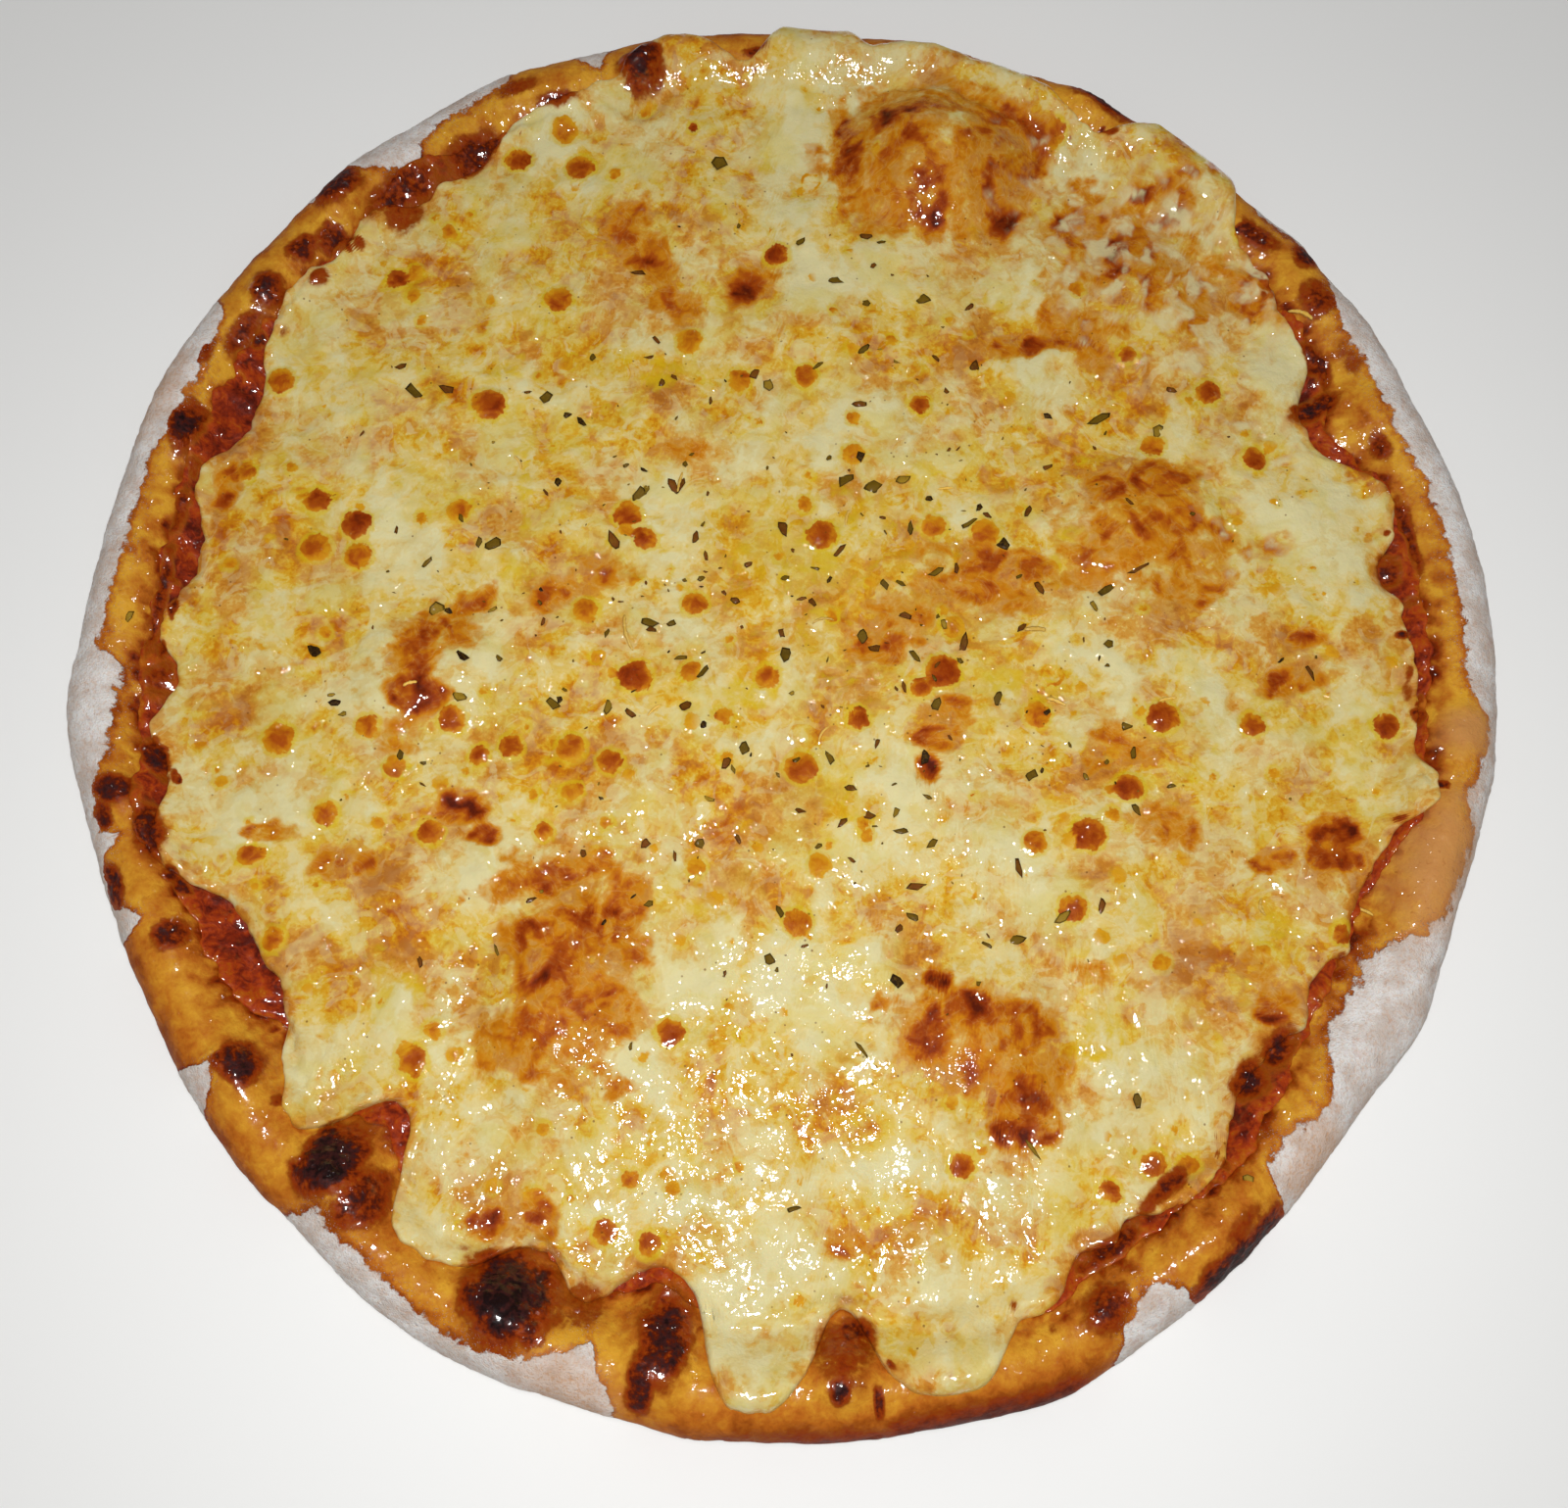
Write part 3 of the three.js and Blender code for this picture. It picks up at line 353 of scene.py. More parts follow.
SAUCE_RED = srgb(160, 58, 16)
SAUCE_DARK = srgb(128, 40, 16)
SAUCE_BLACK = srgb(84, 24, 14)
FLOUR_WHITE = srgb(222, 219, 216)
FLOUR_THIN = srgb(196, 182, 172)
HERB_TONES = [srgb(98, 74, 8), srgb(102, 54, 8), srgb(40, 22, 5), srgb(144, 114, 30)]
# A flake's dark outline: partly the dried leaf's own edge, partly painted shade round it
HERB_EDGE_AND_SHADE = srgb(46, 28, 5)
HERB_VEIN = srgb(120, 88, 12)
STRAW = srgb(214, 170, 72)
STRAW_VEIN = srgb(232, 206, 130)

# How colours change, each from the value at which it is reached: cheese that
# fried in its own fat or only dried, browned spots, blisters, crust, sauce
FRIED = [(-0.55, PALE_CHEESE), (-0.2, CREAM), (0.12, BUTTER), (0.42, ORANGE_FAT),
         (0.75, DEEP_ORANGE), (1.2, BAKED_BROWN)]
DRIED = [(-0.55, PALE_CHEESE), (-0.2, SAND), (0.12, PEACH), (0.5, APRICOT), (1.0, RUSSET)]
BROWNING = [(0.1, ORANGE_FAT), (0.38, DEEP_ORANGE), (0.58, BAKED_BROWN), (0.8, RED_BROWN),
            (1.1, DARK_RED)]
BLISTERING = [(-0.05, ORANGE_FAT), (0.3, DEEP_ORANGE), (0.56, BAKED_BROWN), (0.85, RED_BROWN),
              (1.15, DARK_RED)]
TOASTING = [(-0.1, AMBER_CRUST), (0.14, GOLDEN), (0.42, OILED), (0.68, TOASTED),
            (0.9, RED_BROWN), (1.25, DARK_RED)]
BURNING = [(0.08, OILED), (0.28, TOASTED), (0.5, RED_BROWN), (0.75, DARK_RED), (0.95, CHARRED),
           (1.3, SOOT)]
STEWING = [(-0.1, OILED), (0.12, BAKED_BROWN), (0.4, SAUCE_RED), (0.72, SAUCE_DARK),
           (1.1, SAUCE_BLACK)]

# --------------------------------------------------------------------- numbers

rng = np.random.default_rng(SEED)
ORDER = rng.permutation(256)
SLOPES = rng.normal(size=(256, 3))
SLOPES /= np.linalg.norm(SLOPES, axis=1, keepdims=True)
JITTER = rng.random((256, 2))


def smooth(t):
    t = np.clip(t, 0.0, 1.0)
    return t * t * (3.0 - 2.0 * t)


def hashed(i, j, k):
    return ORDER[(ORDER[(ORDER[i & 255] + j) & 255] + k) & 255]


def noise(x, y, size, seed=0, z=0.0):
    """Smooth bumps about one size apart, from about -1 to 1."""
    p = np.stack(np.broadcast_arrays(x / size + 17.31 * seed, y / size - 9.17 * seed,
                                     z / size + 3.73 * seed), -1)
    cell = np.floor(p).astype(int)
    f = p - cell
    fade = f ** 3 * (f * (f * 6.0 - 15.0) + 10.0)
    total = np.zeros(f.shape[:-1])
    for dx in (0, 1):
        for dy in (0, 1):
            for dz in (0, 1):
                slope = SLOPES[hashed(cell[..., 0] + dx, cell[..., 1] + dy, cell[..., 2] + dz)]
                share = np.abs(1.0 - np.array([dx, dy, dz]) - fade).prod(-1)
                total += share * (slope * (f - np.array([dx, dy, dz]))).sum(-1)
    return 1.6 * total


def layered(x, y, size, octaves, seed=0, z=0.0):
    """Noise with finer, weaker noise on it."""
    total = 0.0
    for k in range(octaves):
        total = total + 0.5 ** k * noise(x, y, size / 2.1 ** k, seed + 5 * k, z)
    return total


def cells(x, y, size, seed=0):
    """Distance to the nearest of scattered points, in sizes, and a random
    number that goes with that point."""
    u, v = x / size, y / size
    i, j = np.floor(u).astype(int), np.floor(v).astype(int)
    first = np.full(u.shape, 9.0)
    pick = np.zeros(u.shape)
    for di in (-1, 0, 1):
        for dj in (-1, 0, 1):
            h = hashed(i + di, j + dj, seed)
            d = np.hypot(u - i - di - JITTER[h, 0], v - j - dj - JITTER[h, 1])
            nearer = d < first
            pick = np.where(nearer, h / 255.0, pick)
            first = np.where(nearer, d, first)
    return first, pick


def around(angle, table):
    """A value given at some angles round the pizza, at any angle."""
    at, value = np.array(table, float).T
    return np.interp(angle, at, value, period=360.0)


# ------------------------------------------------------- the pizza's main form


def turn_between(angle, at):
    return (angle - at + 540.0) % 360.0 - 180.0


def hills(angle, rows, steepness=2):
    return sum(size * np.exp(-np.abs(turn_between(angle, at) / wide) ** steepness)
               for at, wide, size in rows)


def ripples(angle, rows):
    return sum(size * np.sin(waves * np.radians(angle) + phase) for waves, size, phase in rows)


def outline(angle):
    """Radius of the pizza's outer edge."""
    a = np.radians(angle)
    oval = HALF_WIDTH * HALF_LENGTH / np.hypot(HALF_LENGTH * np.cos(a), HALF_WIDTH * np.sin(a))
    return oval + hills(angle, OUTLINE_BULGES)


def bubble(distance):
    return np.clip(1.0 - distance * distance, 0.0, None) ** 1.25


def direction_of(x, y):
    return np.degrees(np.arctan2(y, x)) % 360.0


def rim_distance(angle, inset, at, middle, along, across):
    """Distance from a place on the rim, in half-sizes of what lies there."""
    arc = np.radians(turn_between(angle, at)) * (outline(at) - middle)
    return np.hypot(arc / along, (inset - middle) / across)


def crust_top(x, y):
    """Top of the dough, without its fine relief."""
    angle = direction_of(x, y)
    inset = np.clip(outline(angle) - np.hypot(x, y), 0.0, None)
    crest = RIM_HEIGHT + hills(angle, RIM_SWELLINGS) + ripples(angle, CREST_RIPPLES)
    out = np.clip((CREST_INSET - inset) / CREST_INSET, 0.0, 1.0)
    outer = WIDEST_HEIGHT + (crest - WIDEST_HEIGHT) * np.sqrt(1.0 - out * out)
    slope = smooth((RIM_WIDTH - inset) / (RIM_WIDTH - CREST_INSET))
    height = np.where(inset < CREST_INSET, outer, FLOOR_HEIGHT + (crest - FLOOR_HEIGHT) * slope)
    blown = sum(up * bubble(rim_distance(angle, inset, at, middle, along, across))
                for at, middle, along, across, up in RIM_BUBBLES)
    lifted = sum(up * bubble(np.hypot((x - cx) / lx, (y - cy) / ly))
                 for cx, cy, lx, ly, up in FLOOR_BUBBLES)
    return height + smooth(inset / 3.0) * blown + lifted


def layer_thickness(depth, thickness, rounding):
    t = np.clip(depth / rounding, 0.0, 1.0)
    return LAYER_GAP + EDGE_FACE + (thickness - EDGE_FACE) * np.sqrt(t * (2.0 - t))


def edge_noise(angle, size, seed):
    """Noise along the pizza's edge, which closes on itself."""
    a = np.radians(angle)
    return noise(130.0 * np.cos(a), 130.0 * np.sin(a), size, seed)


def sauce_edge(angle):
    plain = outline(angle) - SAUCE_INSET + hills(angle, SAUCE_LOBES)
    shy = 3.0 * (1.0 - around(angle, SAUCE_DEPTH))
    return plain - shy + 1.3 * edge_noise(angle, 6.0, 3) + 0.7 * edge_noise(angle, 2.2, 4)


def cheese_edge(angle):
    inset = CHEESE_INSET - hills(angle, CHEESE_LOBES, 3)
    inset = inset + 0.6 * edge_noise(angle, 4.0, 1) + 0.4 * edge_noise(angle, 2.0, 2)
    return outline(angle) - np.maximum(inset, CHEESE_LEAST_INSET)


def swell(x, y):
    return (0.5 * np.sin(x / 9.1 + 1.3) * np.sin(y / 10.3 + 0.4)
            + 0.35 * np.sin((x + y) / 6.7 + 2.1) * np.sin((x - 0.7 * y) / 7.9))


# --------------------------------------------------- patches, blisters, scorch


def spots(x, y, rows, ragged, soft):
    """The strongest of a list of patches at each place, with frayed edges."""
    fray = ragged * layered(x, y, 6.0, 3, seed=21)
    total = np.zeros(x.shape)
    for cx, cy, long, wide, heading, strength in rows:
        reach = 2.2 * max(long, wide)
        near = np.flatnonzero((np.abs(x - cx) < reach) & (np.abs(y - cy) < reach))
        a = math.radians(heading)
        dx, dy = x[near] - cx, y[near] - cy
        u = (dx * math.cos(a) + dy * math.sin(a)) / long
        v = (dy * math.cos(a) - dx * math.sin(a)) / wide
        d = np.hypot(u, v) + fray[near]
        total[near] = np.maximum(total[near], strength * smooth((1.0 + soft - d) / (2.0 * soft)))
    return total


def rim_spots(x, y, inset, rows, ragged, soft):
    """The same for patches on the rim, placed by angle and inset."""
    angle = direction_of(x, y)
    fray = ragged * layered(x, y, 4.0, 3, seed=23)
    total = np.zeros(x.shape)
    for at, middle, along, across, *strength in rows:
        d = rim_distance(angle, inset, at, middle, along, across) + fray
        share = strength[0] if strength else 1.0
        total = np.maximum(total, share * smooth((1.0 + soft - d) / (2.0 * soft)))
    return total


def scattered_blisters():
    """Small blisters by chance, anywhere at least 4 mm in from the cheese's edge."""
    chance = np.random.default_rng(SEED + 1)
    rows = []
    while len(rows) < SMALL_BLISTERS:
        x, y = chance.uniform(-135, 135, 2)
        if math.hypot(x, y) < cheese_edge(direction_of(x, y)) - 4:
            rows.append((x, y, 0.5 + 1.3 * chance.random() ** 1.8, 0.1 + 0.45 * chance.random()))
    return rows


SPECKS = scattered_blisters()


def blisters(x, y):
    """How far inside a blister a place is, in millimetres, how dark that
    blister is, and how high it stands there."""
    wx = x + 0.35 * noise(x, y, 2.4, 31)
    wy = y + 0.35 * noise(x, y, 2.4, 32)
    inside = np.full(x.shape, -3.0)
    dark, height = np.zeros(x.shape), np.zeros(x.shape)
    for cx, cy, radius, strength in BLISTERS + SPECKS:
        reach = radius + 3.0
        near = np.flatnonzero((np.abs(x - cx) < reach) & (np.abs(y - cy) < reach))
        away = np.hypot(wx[near] - cx, wy[near] - cy)
        turn = 2.4 * cx + 3.1 * cy
        lean = ((x[near] - cx) * math.cos(turn) + (y[near] - cy) * math.sin(turn)) / radius
        deeper = radius - away > inside[near]
        inside[near] = np.where(deeper, radius - away, inside[near])
        dark[near] = np.where(deeper, strength + 0.16 * np.clip(lean, -1.2, 1.2), dark[near])
        d = away / radius
        moat = np.exp(-((d - 1.35) / 0.25) ** 2)
        height[near] += 0.13 * radius * bubble(d / 1.2) - 0.05 * radius * moat
    for cx, cy, radius in RINGS:
        near = np.flatnonzero((np.abs(x - cx) < 2 * radius) & (np.abs(y - cy) < 2 * radius))
        d = np.hypot(x[near] - cx, y[near] - cy) / radius
        lip = np.exp(-((d - 0.85) / 0.2) ** 2)
        inside[near] = np.maximum(inside[near], 1.2 * lip - 0.8)
        dark[near] = np.maximum(dark[near], 0.5 * lip)
        height[near] += 0.25 * lip - 0.25 * smooth((0.7 - d) / 0.3)
    return inside, dark, height


def rim_inset(x, y):
    return outline(direction_of(x, y)) - np.hypot(x, y)


def rim_specks():
    """Small dark blisters by chance where crust, sauce and cheese meet."""
    chance = np.random.default_rng(SEED + 5)
    rows = []
    for _ in range(RIM_SPECKS):
        angle, inset = chance.uniform(0, 360), 9.0 + 11.0 * chance.random() ** 0.8
        along, across = 0.6 + 1.6 * chance.random() ** 2, 0.6 + 1.2 * chance.random() ** 2
        rows.append((angle, inset, along, across, 0.25 + 0.5 * chance.random()))
    return rows


RIM_FLECKS = rim_specks()


def scorch(x, y, inset):
    marks = rim_spots(x, y, inset, RIM_BURNS, 0.3, 0.75)
    from_cheese = np.abs(cheese_edge(direction_of(x, y)) - np.hypot(x, y))
    flecks = rim_spots(x, y, inset, RIM_FLECKS, 0.6, 0.6) * smooth((5.0 - from_cheese) / 3.0)
    return np.maximum(marks, flecks)


# ---------------------------------------------------------------- cheese sheet


# What the cheese's material reads at each point
CHEESE_FIELDS = ("cooked", "dried", "milk", "oil", "brown", "blister", "dark", "burn", "lace")


def melt(x, y):
    """What the cheese is like at each place, and its relief."""
    wx = x + 2.4 * noise(x, y, 8.0, 33) + 0.9 * noise(x, y, 3.0, 35)
    wy = y + 2.4 * noise(x, y, 8.0, 34) + 0.9 * noise(x, y, 3.0, 36)
    broad = layered(x, y, 24.0, 2, 41)
    clots = layered(wx, wy, 8.5, 3, 42)
    small = layered(wx, wy, 2.6, 2, 43)
    patchy = layered(wx, wy, 6.0, 2, 48)
    pale = spots(x, y, PALE, 0.5, 0.7)
    haze = spots(x, y, HAZE, 0.5, 0.8)
    brown = spots(x, y, BROWNED, 0.5, 0.5)
    m = {"depth": cheese_edge(direction_of(x, y)) - np.hypot(x, y)}
    m["blister"], m["dark"], dome = blisters(x, y)
    m["brown"] = np.clip(brown * (0.9 + 0.8 * patchy + 0.25 * small), 0.0, 1.2)
    edge = smooth((5.0 - m["depth"]) / 5.0) * (1.0 - pale)
    m["cooked"] = (0.08 + 0.06 * smooth(-y / 60.0) + 0.62 * clots + 0.3 * small + 0.2 * broad
                   + 0.6 * haze - 0.85 * pale + 1.0 * smooth(1.3 * brown) + edge * (0.35 + 0.6 * patchy))
    dry = 0.5 + 0.9 * noise(x, y, 15.0, 49) + 0.3 * noise(wx, wy, 5.0, 50)
    m["dried"] = smooth(dry + 0.6 * smooth((6.0 - m["depth"]) / 6.0))
    m["milk"] = np.clip(1.0 - np.abs(noise(wx, wy, 7.0, 45) - 0.05) / 0.2, 0.0, 1.0)
    m["milk"] *= smooth(0.75 - 0.5 * m["cooked"] + 0.3 * small)
    m["lace"] = smooth(0.5 + 1.1 * layered(wx, wy, 5.0, 3, 45)) * spots(x, y, LACE, 0.6, 0.6)
    m["oil"] = np.clip(spots(x, y, OIL, 0.6, 0.6) * (0.9 + 0.7 * small), 0.0, 1.0)
    m["burn"] = scorch(x, y, rim_inset(x, y))
    m["relief"] = dome + 0.3 * broad - 0.28 * clots + 0.06 * small + fine_relief(x, y, m)
    return m


def fine_relief(x, y, m):
    """Foam, pits, and what browned, milky and burnt cheese adds to them."""
    bubbles, _ = cells(x, y, 1.9, 11)
    foam = 1.0 - np.clip(bubbles / 0.75, 0.0, 1.0) ** 2
    pits, chance = cells(x, y, 4.6, 13)
    pit = smooth((0.2 - pits) / 0.12) * (chance > 0.4)
    crisp = 0.2 * noise(x, y, 2.6, 44) + 0.14 * noise(x, y, 1.7, 46)
    return (0.06 * foam - 0.28 * pit + 0.25 * smooth(0.35 - 0.9 * m["cooked"])
            - 0.3 * m["brown"] + 0.18 * m["milk"] + 0.15 * m["lace"]
            + m["brown"] * crisp + m["burn"] * 0.3 * noise(x, y, 1.5, 47))


def cheese_top(x, y, m):
    under_depth = sauce_edge(direction_of(x, y)) - np.hypot(x, y)
    under = smooth(under_depth / SAUCE_ROUNDING) * (SAUCE_THICKNESS + LAYER_GAP)
    relief = smooth(m["depth"] / RELIEF_FADE) * swell(x, y)
    fade = 0.35 + 0.65 * smooth(m["depth"] / 3.0)
    return (crust_top(x, y) + under + relief + fade * m["relief"]
            + layer_thickness(m["depth"], CHEESE_THICKNESS, CHEESE_ROUNDING))


# ------------------------------------------------------------ building meshes


class Shell:
    """A mesh built from grids and rings of points, with fields of numbers at
    its points. Faces belong to the upper or the lower part of its UV map."""

    def __init__(self):
        self.points = []
        self.rho = []
        self.fields = {}
        self.faces = []
        self.lower = []
        self.count = 0

    def add_points(self, points, rho, **fields):
        start = self.count
        self.points.append(np.asarray(points, float).reshape(-1, 3))
        self.rho.append(np.asarray(rho, float).ravel())
        self.count += len(self.points[-1])
        for name, value in fields.items():
            self.fields.setdefault(name, []).append(np.asarray(value, float))
        return np.arange(start, self.count)

    def add_faces(self, faces, lower=False):
        self.faces.extend(faces)
        self.lower.extend([lower] * len(faces))

    def stitch(self, ring, inner, lower=False):
        """Triangles between two rings that run the same way, the second one
        up or in from the first, each with its own number of points."""
        i = j = 0
        faces = []
        while i < len(ring) or j < len(inner):
            a, b = ring[i % len(ring)], inner[j % len(inner)]
            if (i + 1) / len(ring) <= (j + 1) / len(inner):
                faces.append((a, ring[(i + 1) % len(ring)], b))
                i += 1
            else:
                faces.append((a, inner[(j + 1) % len(inner)], b))
                j += 1
        self.add_faces(faces, lower)

    def band(self, rings, lower=False):
        """Quads between equal rings."""
        faces = []
        for low, high in zip(rings[:-1], rings[1:]):
            faces.append(np.stack([low, np.roll(low, -1), np.roll(high, -1), high], 1))
        self.add_faces(np.concatenate(faces).tolist(), lower)

    def close(self, border, rings, centre, lower=False):
        """Faces from a border through smaller rings to one centre point."""
        for ring in rings:
            pair = (ring, border) if lower else (border, ring)
            self.stitch(*pair, lower)
            border = ring
        last = border[::-1] if lower else border
        fan = [(last[k], last[(k + 1) % len(last)], centre[0]) for k in range(len(last))]
        self.add_faces(fan, lower)


# Where the upper and the lower part lie in the UV map: (u, v, radius)
UPPER_ISLAND = (0.425, 0.425, 0.42)
LOWER_ISLAND = (0.855, 0.855, 0.14)


def add_mesh(name, shell):
    """The shell as a Blender object, in metres, with its own UV map."""
    points = np.concatenate(shell.points)
    rho = np.concatenate(shell.rho)
    mesh = bpy.data.meshes.new(name)
    mesh.from_pydata((points * MM).tolist(), [], [tuple(face) for face in shell.faces])
    mesh.update()
    mesh.polygons.foreach_set("use_smooth", np.ones(len(mesh.polygons), bool))
    for field, parts in shell.fields.items():
        attribute = mesh.attributes.new(field, "FLOAT", "POINT")
        attribute.data.foreach_set("value", np.concatenate(parts).astype(np.float32))
    a = np.arctan2(points[:, 1], points[:, 0])
    flat = np.column_stack([rho * np.cos(a), rho * np.sin(a)])
    vertex = np.zeros(len(mesh.loops), int)
    mesh.loops.foreach_get("vertex_index", vertex)
    sizes = np.zeros(len(mesh.polygons), int)
    mesh.polygons.foreach_get("loop_total", sizes)
    lower = np.repeat(np.array(shell.lower, bool), sizes)
    widest = rho.max()
    uv = np.zeros((len(vertex), 2))
    for part, (u, v, radius) in ((~lower, UPPER_ISLAND), (lower, LOWER_ISLAND)):
        uv[part] = (u, v) + flat[vertex[part]] * radius / widest
    layer = mesh.uv_layers.new(name="OFBake")
    layer.data.foreach_set("uv", uv.astype(np.float32).ravel())
    piece = bpy.data.objects.new(name, mesh)
    bpy.context.scene.collection.objects.link(piece)
    return piece


def ring_at(radius, angle, z):
    a = np.radians(angle)
    return np.column_stack([radius * np.cos(a), radius * np.sin(a),
                            np.broadcast_to(z, a.shape)])


def square_disc(n):
    """A square grid of (n + 1) x (n + 1) points bent into a disc: share of the
    radius and angle of each, its quads, and its border anticlockwise."""
    step = np.linspace(-1.0, 1.0, n + 1)
    a, b = np.meshgrid(step, step)
    by_a = np.abs(a) >= np.abs(b)
    radius = np.where(by_a, a, b)
    with np.errstate(divide="ignore", invalid="ignore"):
        turn = np.where(by_a, np.pi / 4 * b / a, np.pi / 2 - np.pi / 4 * a / b)
    turn = np.nan_to_num(turn)
    x, y = radius * np.cos(turn), radius * np.sin(turn)
    k = np.arange((n + 1) ** 2).reshape(n + 1, n + 1)
    quads = np.stack([k[:-1, :-1], k[:-1, 1:], k[1:, 1:], k[1:, :-1]], -1).reshape(-1, 4)
    border = np.concatenate([k[0, :-1], k[:-1, -1], k[-1, :0:-1], k[:0:-1, 0]])
    return np.abs(radius).ravel(), direction_of(x, y).ravel(), quads, border


CHEESE_GRID = 300
EDGE_RINGS = 8
EDGE_RING_GAP = 0.41
CHEESE_RADIUS = 128.0
# The sheet's rounded side: (how far out, share of the way down)
CHEESE_SIDE = [(0.22, 0.25), (0.3, 0.55), (0.1, 0.85), (-0.5, 1.1)]
SIDE_SINK = 0.7
SIDE_UV_STEP = 0.7
# The hidden underside's rings: (how far in from the edge, points)
CHEESE_UNDER = [(2, 600), (4, 600), (7, 300), (10, 300), (14, 300), (20, 150), (40, 100), (80, 50)]
UNDER_SINK = 0.4
GRID_CORNER = 225.0


def cheese_rings():
    """How far in each ring of the grid lies, as a share of the way to the
    middle. The first ones lie close together, on the rounded edge."""
    close = EDGE_RING_GAP * np.arange(EDGE_RINGS + 1) / CHEESE_RADIUS
    count = CHEESE_GRID // 2 - EDGE_RINGS
    rest = close[-1] + (1.0 - close[-1]) * np.arange(1, count + 1) / count
    return np.concatenate([close, rest])


def add_cheese_side(shell, edge, place, out, turn, fields):
    """The rounded side of the sheet, down onto what carries it."""
    x, y, high = place
    low = crust_top(x, y) - SIDE_SINK
    side = [edge]
    for k, (lean, drop) in enumerate(CHEESE_SIDE, 1):
        points = ring_at(out + lean, turn, high + (low - high) * drop)
        side.append(shell.add_points(points, out + k * SIDE_UV_STEP, **fields))
    shell.band(side[::-1])
    return side[-1]


def add_cheese_underside(shell, outer):
    """The hidden underside, sunk a little into the crust."""
    rings = []
    for depth, count in CHEESE_UNDER:
        turns = GRID_CORNER + 360.0 * np.arange(count) / count
        reach = cheese_edge(turns % 360.0) - depth
        points = ring_at(reach, turns, 0.0)
        points[:, 2] = crust_top(points[:, 0], points[:, 1]) - UNDER_SINK
        plain = {name: np.zeros(count) for name in CHEESE_FIELDS}
        rings.append(shell.add_points(points, reach, **plain))
    middle = [[0, 0, crust_top(0.0, 0.0) - UNDER_SINK]]
    centre = shell.add_points(middle, [0.0], **{name: [0.0] for name in CHEESE_FIELDS})
    shell.close(outer, rings, centre, lower=True)


def make_cheese():
    share, angle, quads, border = square_disc(CHEESE_GRID)
    half = CHEESE_GRID // 2
    ring = np.rint(share * CHEESE_GRID / 2).astype(int)
    radius = cheese_edge(angle) * (1.0 - cheese_rings()[half - ring])
    a = np.radians(angle)
    x, y = radius * np.cos(a), radius * np.sin(a)
    m = melt(x, y)
    z = cheese_top(x, y, m)
    fields = {name: m[name] for name in CHEESE_FIELDS}
    shell = Shell()
    top = shell.add_points(np.column_stack([x, y, z]), radius, **fields)
    shell.add_faces(quads.tolist())
    place = x[border], y[border], z[border]
    at_border = {name: value[border] for name, value in fields.items()}
    outer = add_cheese_side(shell, top[border], place, radius[border], angle[border], at_border)
    add_cheese_underside(shell, outer)
    return add_mesh("cheese_sheet", shell)


# ----------------------------------------------------------------------- crust

RIM_AROUND = 1080
RIM_DEPTH = 36.0
RIM_STEP = 0.8
# Turns of the rim's profile under its widest ring and from there to its crest
UNDER = np.radians(np.linspace(0.0, 90.0, 10))[:-1]
OVER = np.radians(np.linspace(0.0, 90.0, 15))
WIDEST_RING = len(UNDER)
CREST_RING = WIDEST_RING + len(OVER) - 1
FOOT_RINGS = 3.0
# Rings of the crust under the cheese: (share of the way out, points)
HIDDEN_RINGS = [(0.95, 360), (0.85, 180), (0.7, 180), (0.55, 90), (0.4, 90), (0.25, 45), (0.1, 45)]
SOLE_RINGS = 56
SOLE_MIDDLE = 0.1
NO_FLOUR = -9.0


def cover_depth(x, y):
    """How far inside the sauce's or the cheese's edge a place is."""
    angle, radius = direction_of(x, y), np.hypot(x, y)
    return np.maximum(sauce_edge(angle), cheese_edge(angle)) - radius


def crust_relief(x, y, z, flour, burn):
    shown = 1.0 - smooth((cover_depth(x, y) + 0.5) / 1.5)
    skin = 0.3 * noise(x, y, 9.0, 51, z) + 0.16 * noise(x, y, 3.6, 52, z)
    skin = skin + 0.05 * noise(x, y, 1.5, 53, z)
    creases = np.abs(noise(x, y, 6.0, 54, z))
    skin = skin - 0.3 * smooth((0.07 - creases) / 0.07)
    blistered = burn * (0.3 * noise(x, y, 1.9, 55, z) + 0.12 * noise(x, y, 0.9, 56, z))
    dusted = smooth(flour / 1.2) * (0.12 + 0.1 * noise(x, y, 1.3, 57, z))
    return shown * (skin + blistered + dusted)


def flour_field(x, y, z, s, burn):
    """How far inside the flour's ragged edge a place is, in millimetres."""
    reach = around(direction_of(x, y), FLOUR_REACH) - s
    teeth = 1.3 * noise(x, y, 4.2, 61, z) + 1.1 * noise(x, y, 1.5, 62, z)
    return reach + teeth - 8.0 * smooth(1.8 * burn - 0.5)


def crust_toast(x, y, z, s, pale):
    """How much colour the crust took: 0 golden, 0.6 toasted, 1 dark red."""
    angle, radius = direction_of(x, y), np.hypot(x, y)
    middle = layered(x, y, 4.5, 3, 64, z)
    small = layered(x, y, 2.0, 2, 65, z)
    toast = 0.07 + around(angle, TOAST_AROUND) + 0.2 * noise(x, y, 14.0, 63, z) + 0.2 * middle
    toast += smooth((s - 9.5) / 5.0) * (0.1 + 0.26 * middle + 0.12 * small)
    toast += 0.75 * np.exp(-(np.clip(s, 0.0, None) / 5.0) ** 2) * around(angle, EDGE_TOAST)
    beyond = radius - sauce_edge(angle) - 1.6 * middle - 0.8 * small
    toast += 0.28 * smooth((4.5 - beyond) / 4.5) + 0.45 * smooth((1.2 - beyond) / 1.6)
    return toast * (1.0 - 0.6 * pale)


def outward_normals(grid):
    along = np.roll(grid, -1, 1) - np.roll(grid, 1, 1)
    across = np.gradient(grid, axis=0)
    normal = np.cross(along, across)
    return normal / np.linalg.norm(normal, axis=2, keepdims=True)


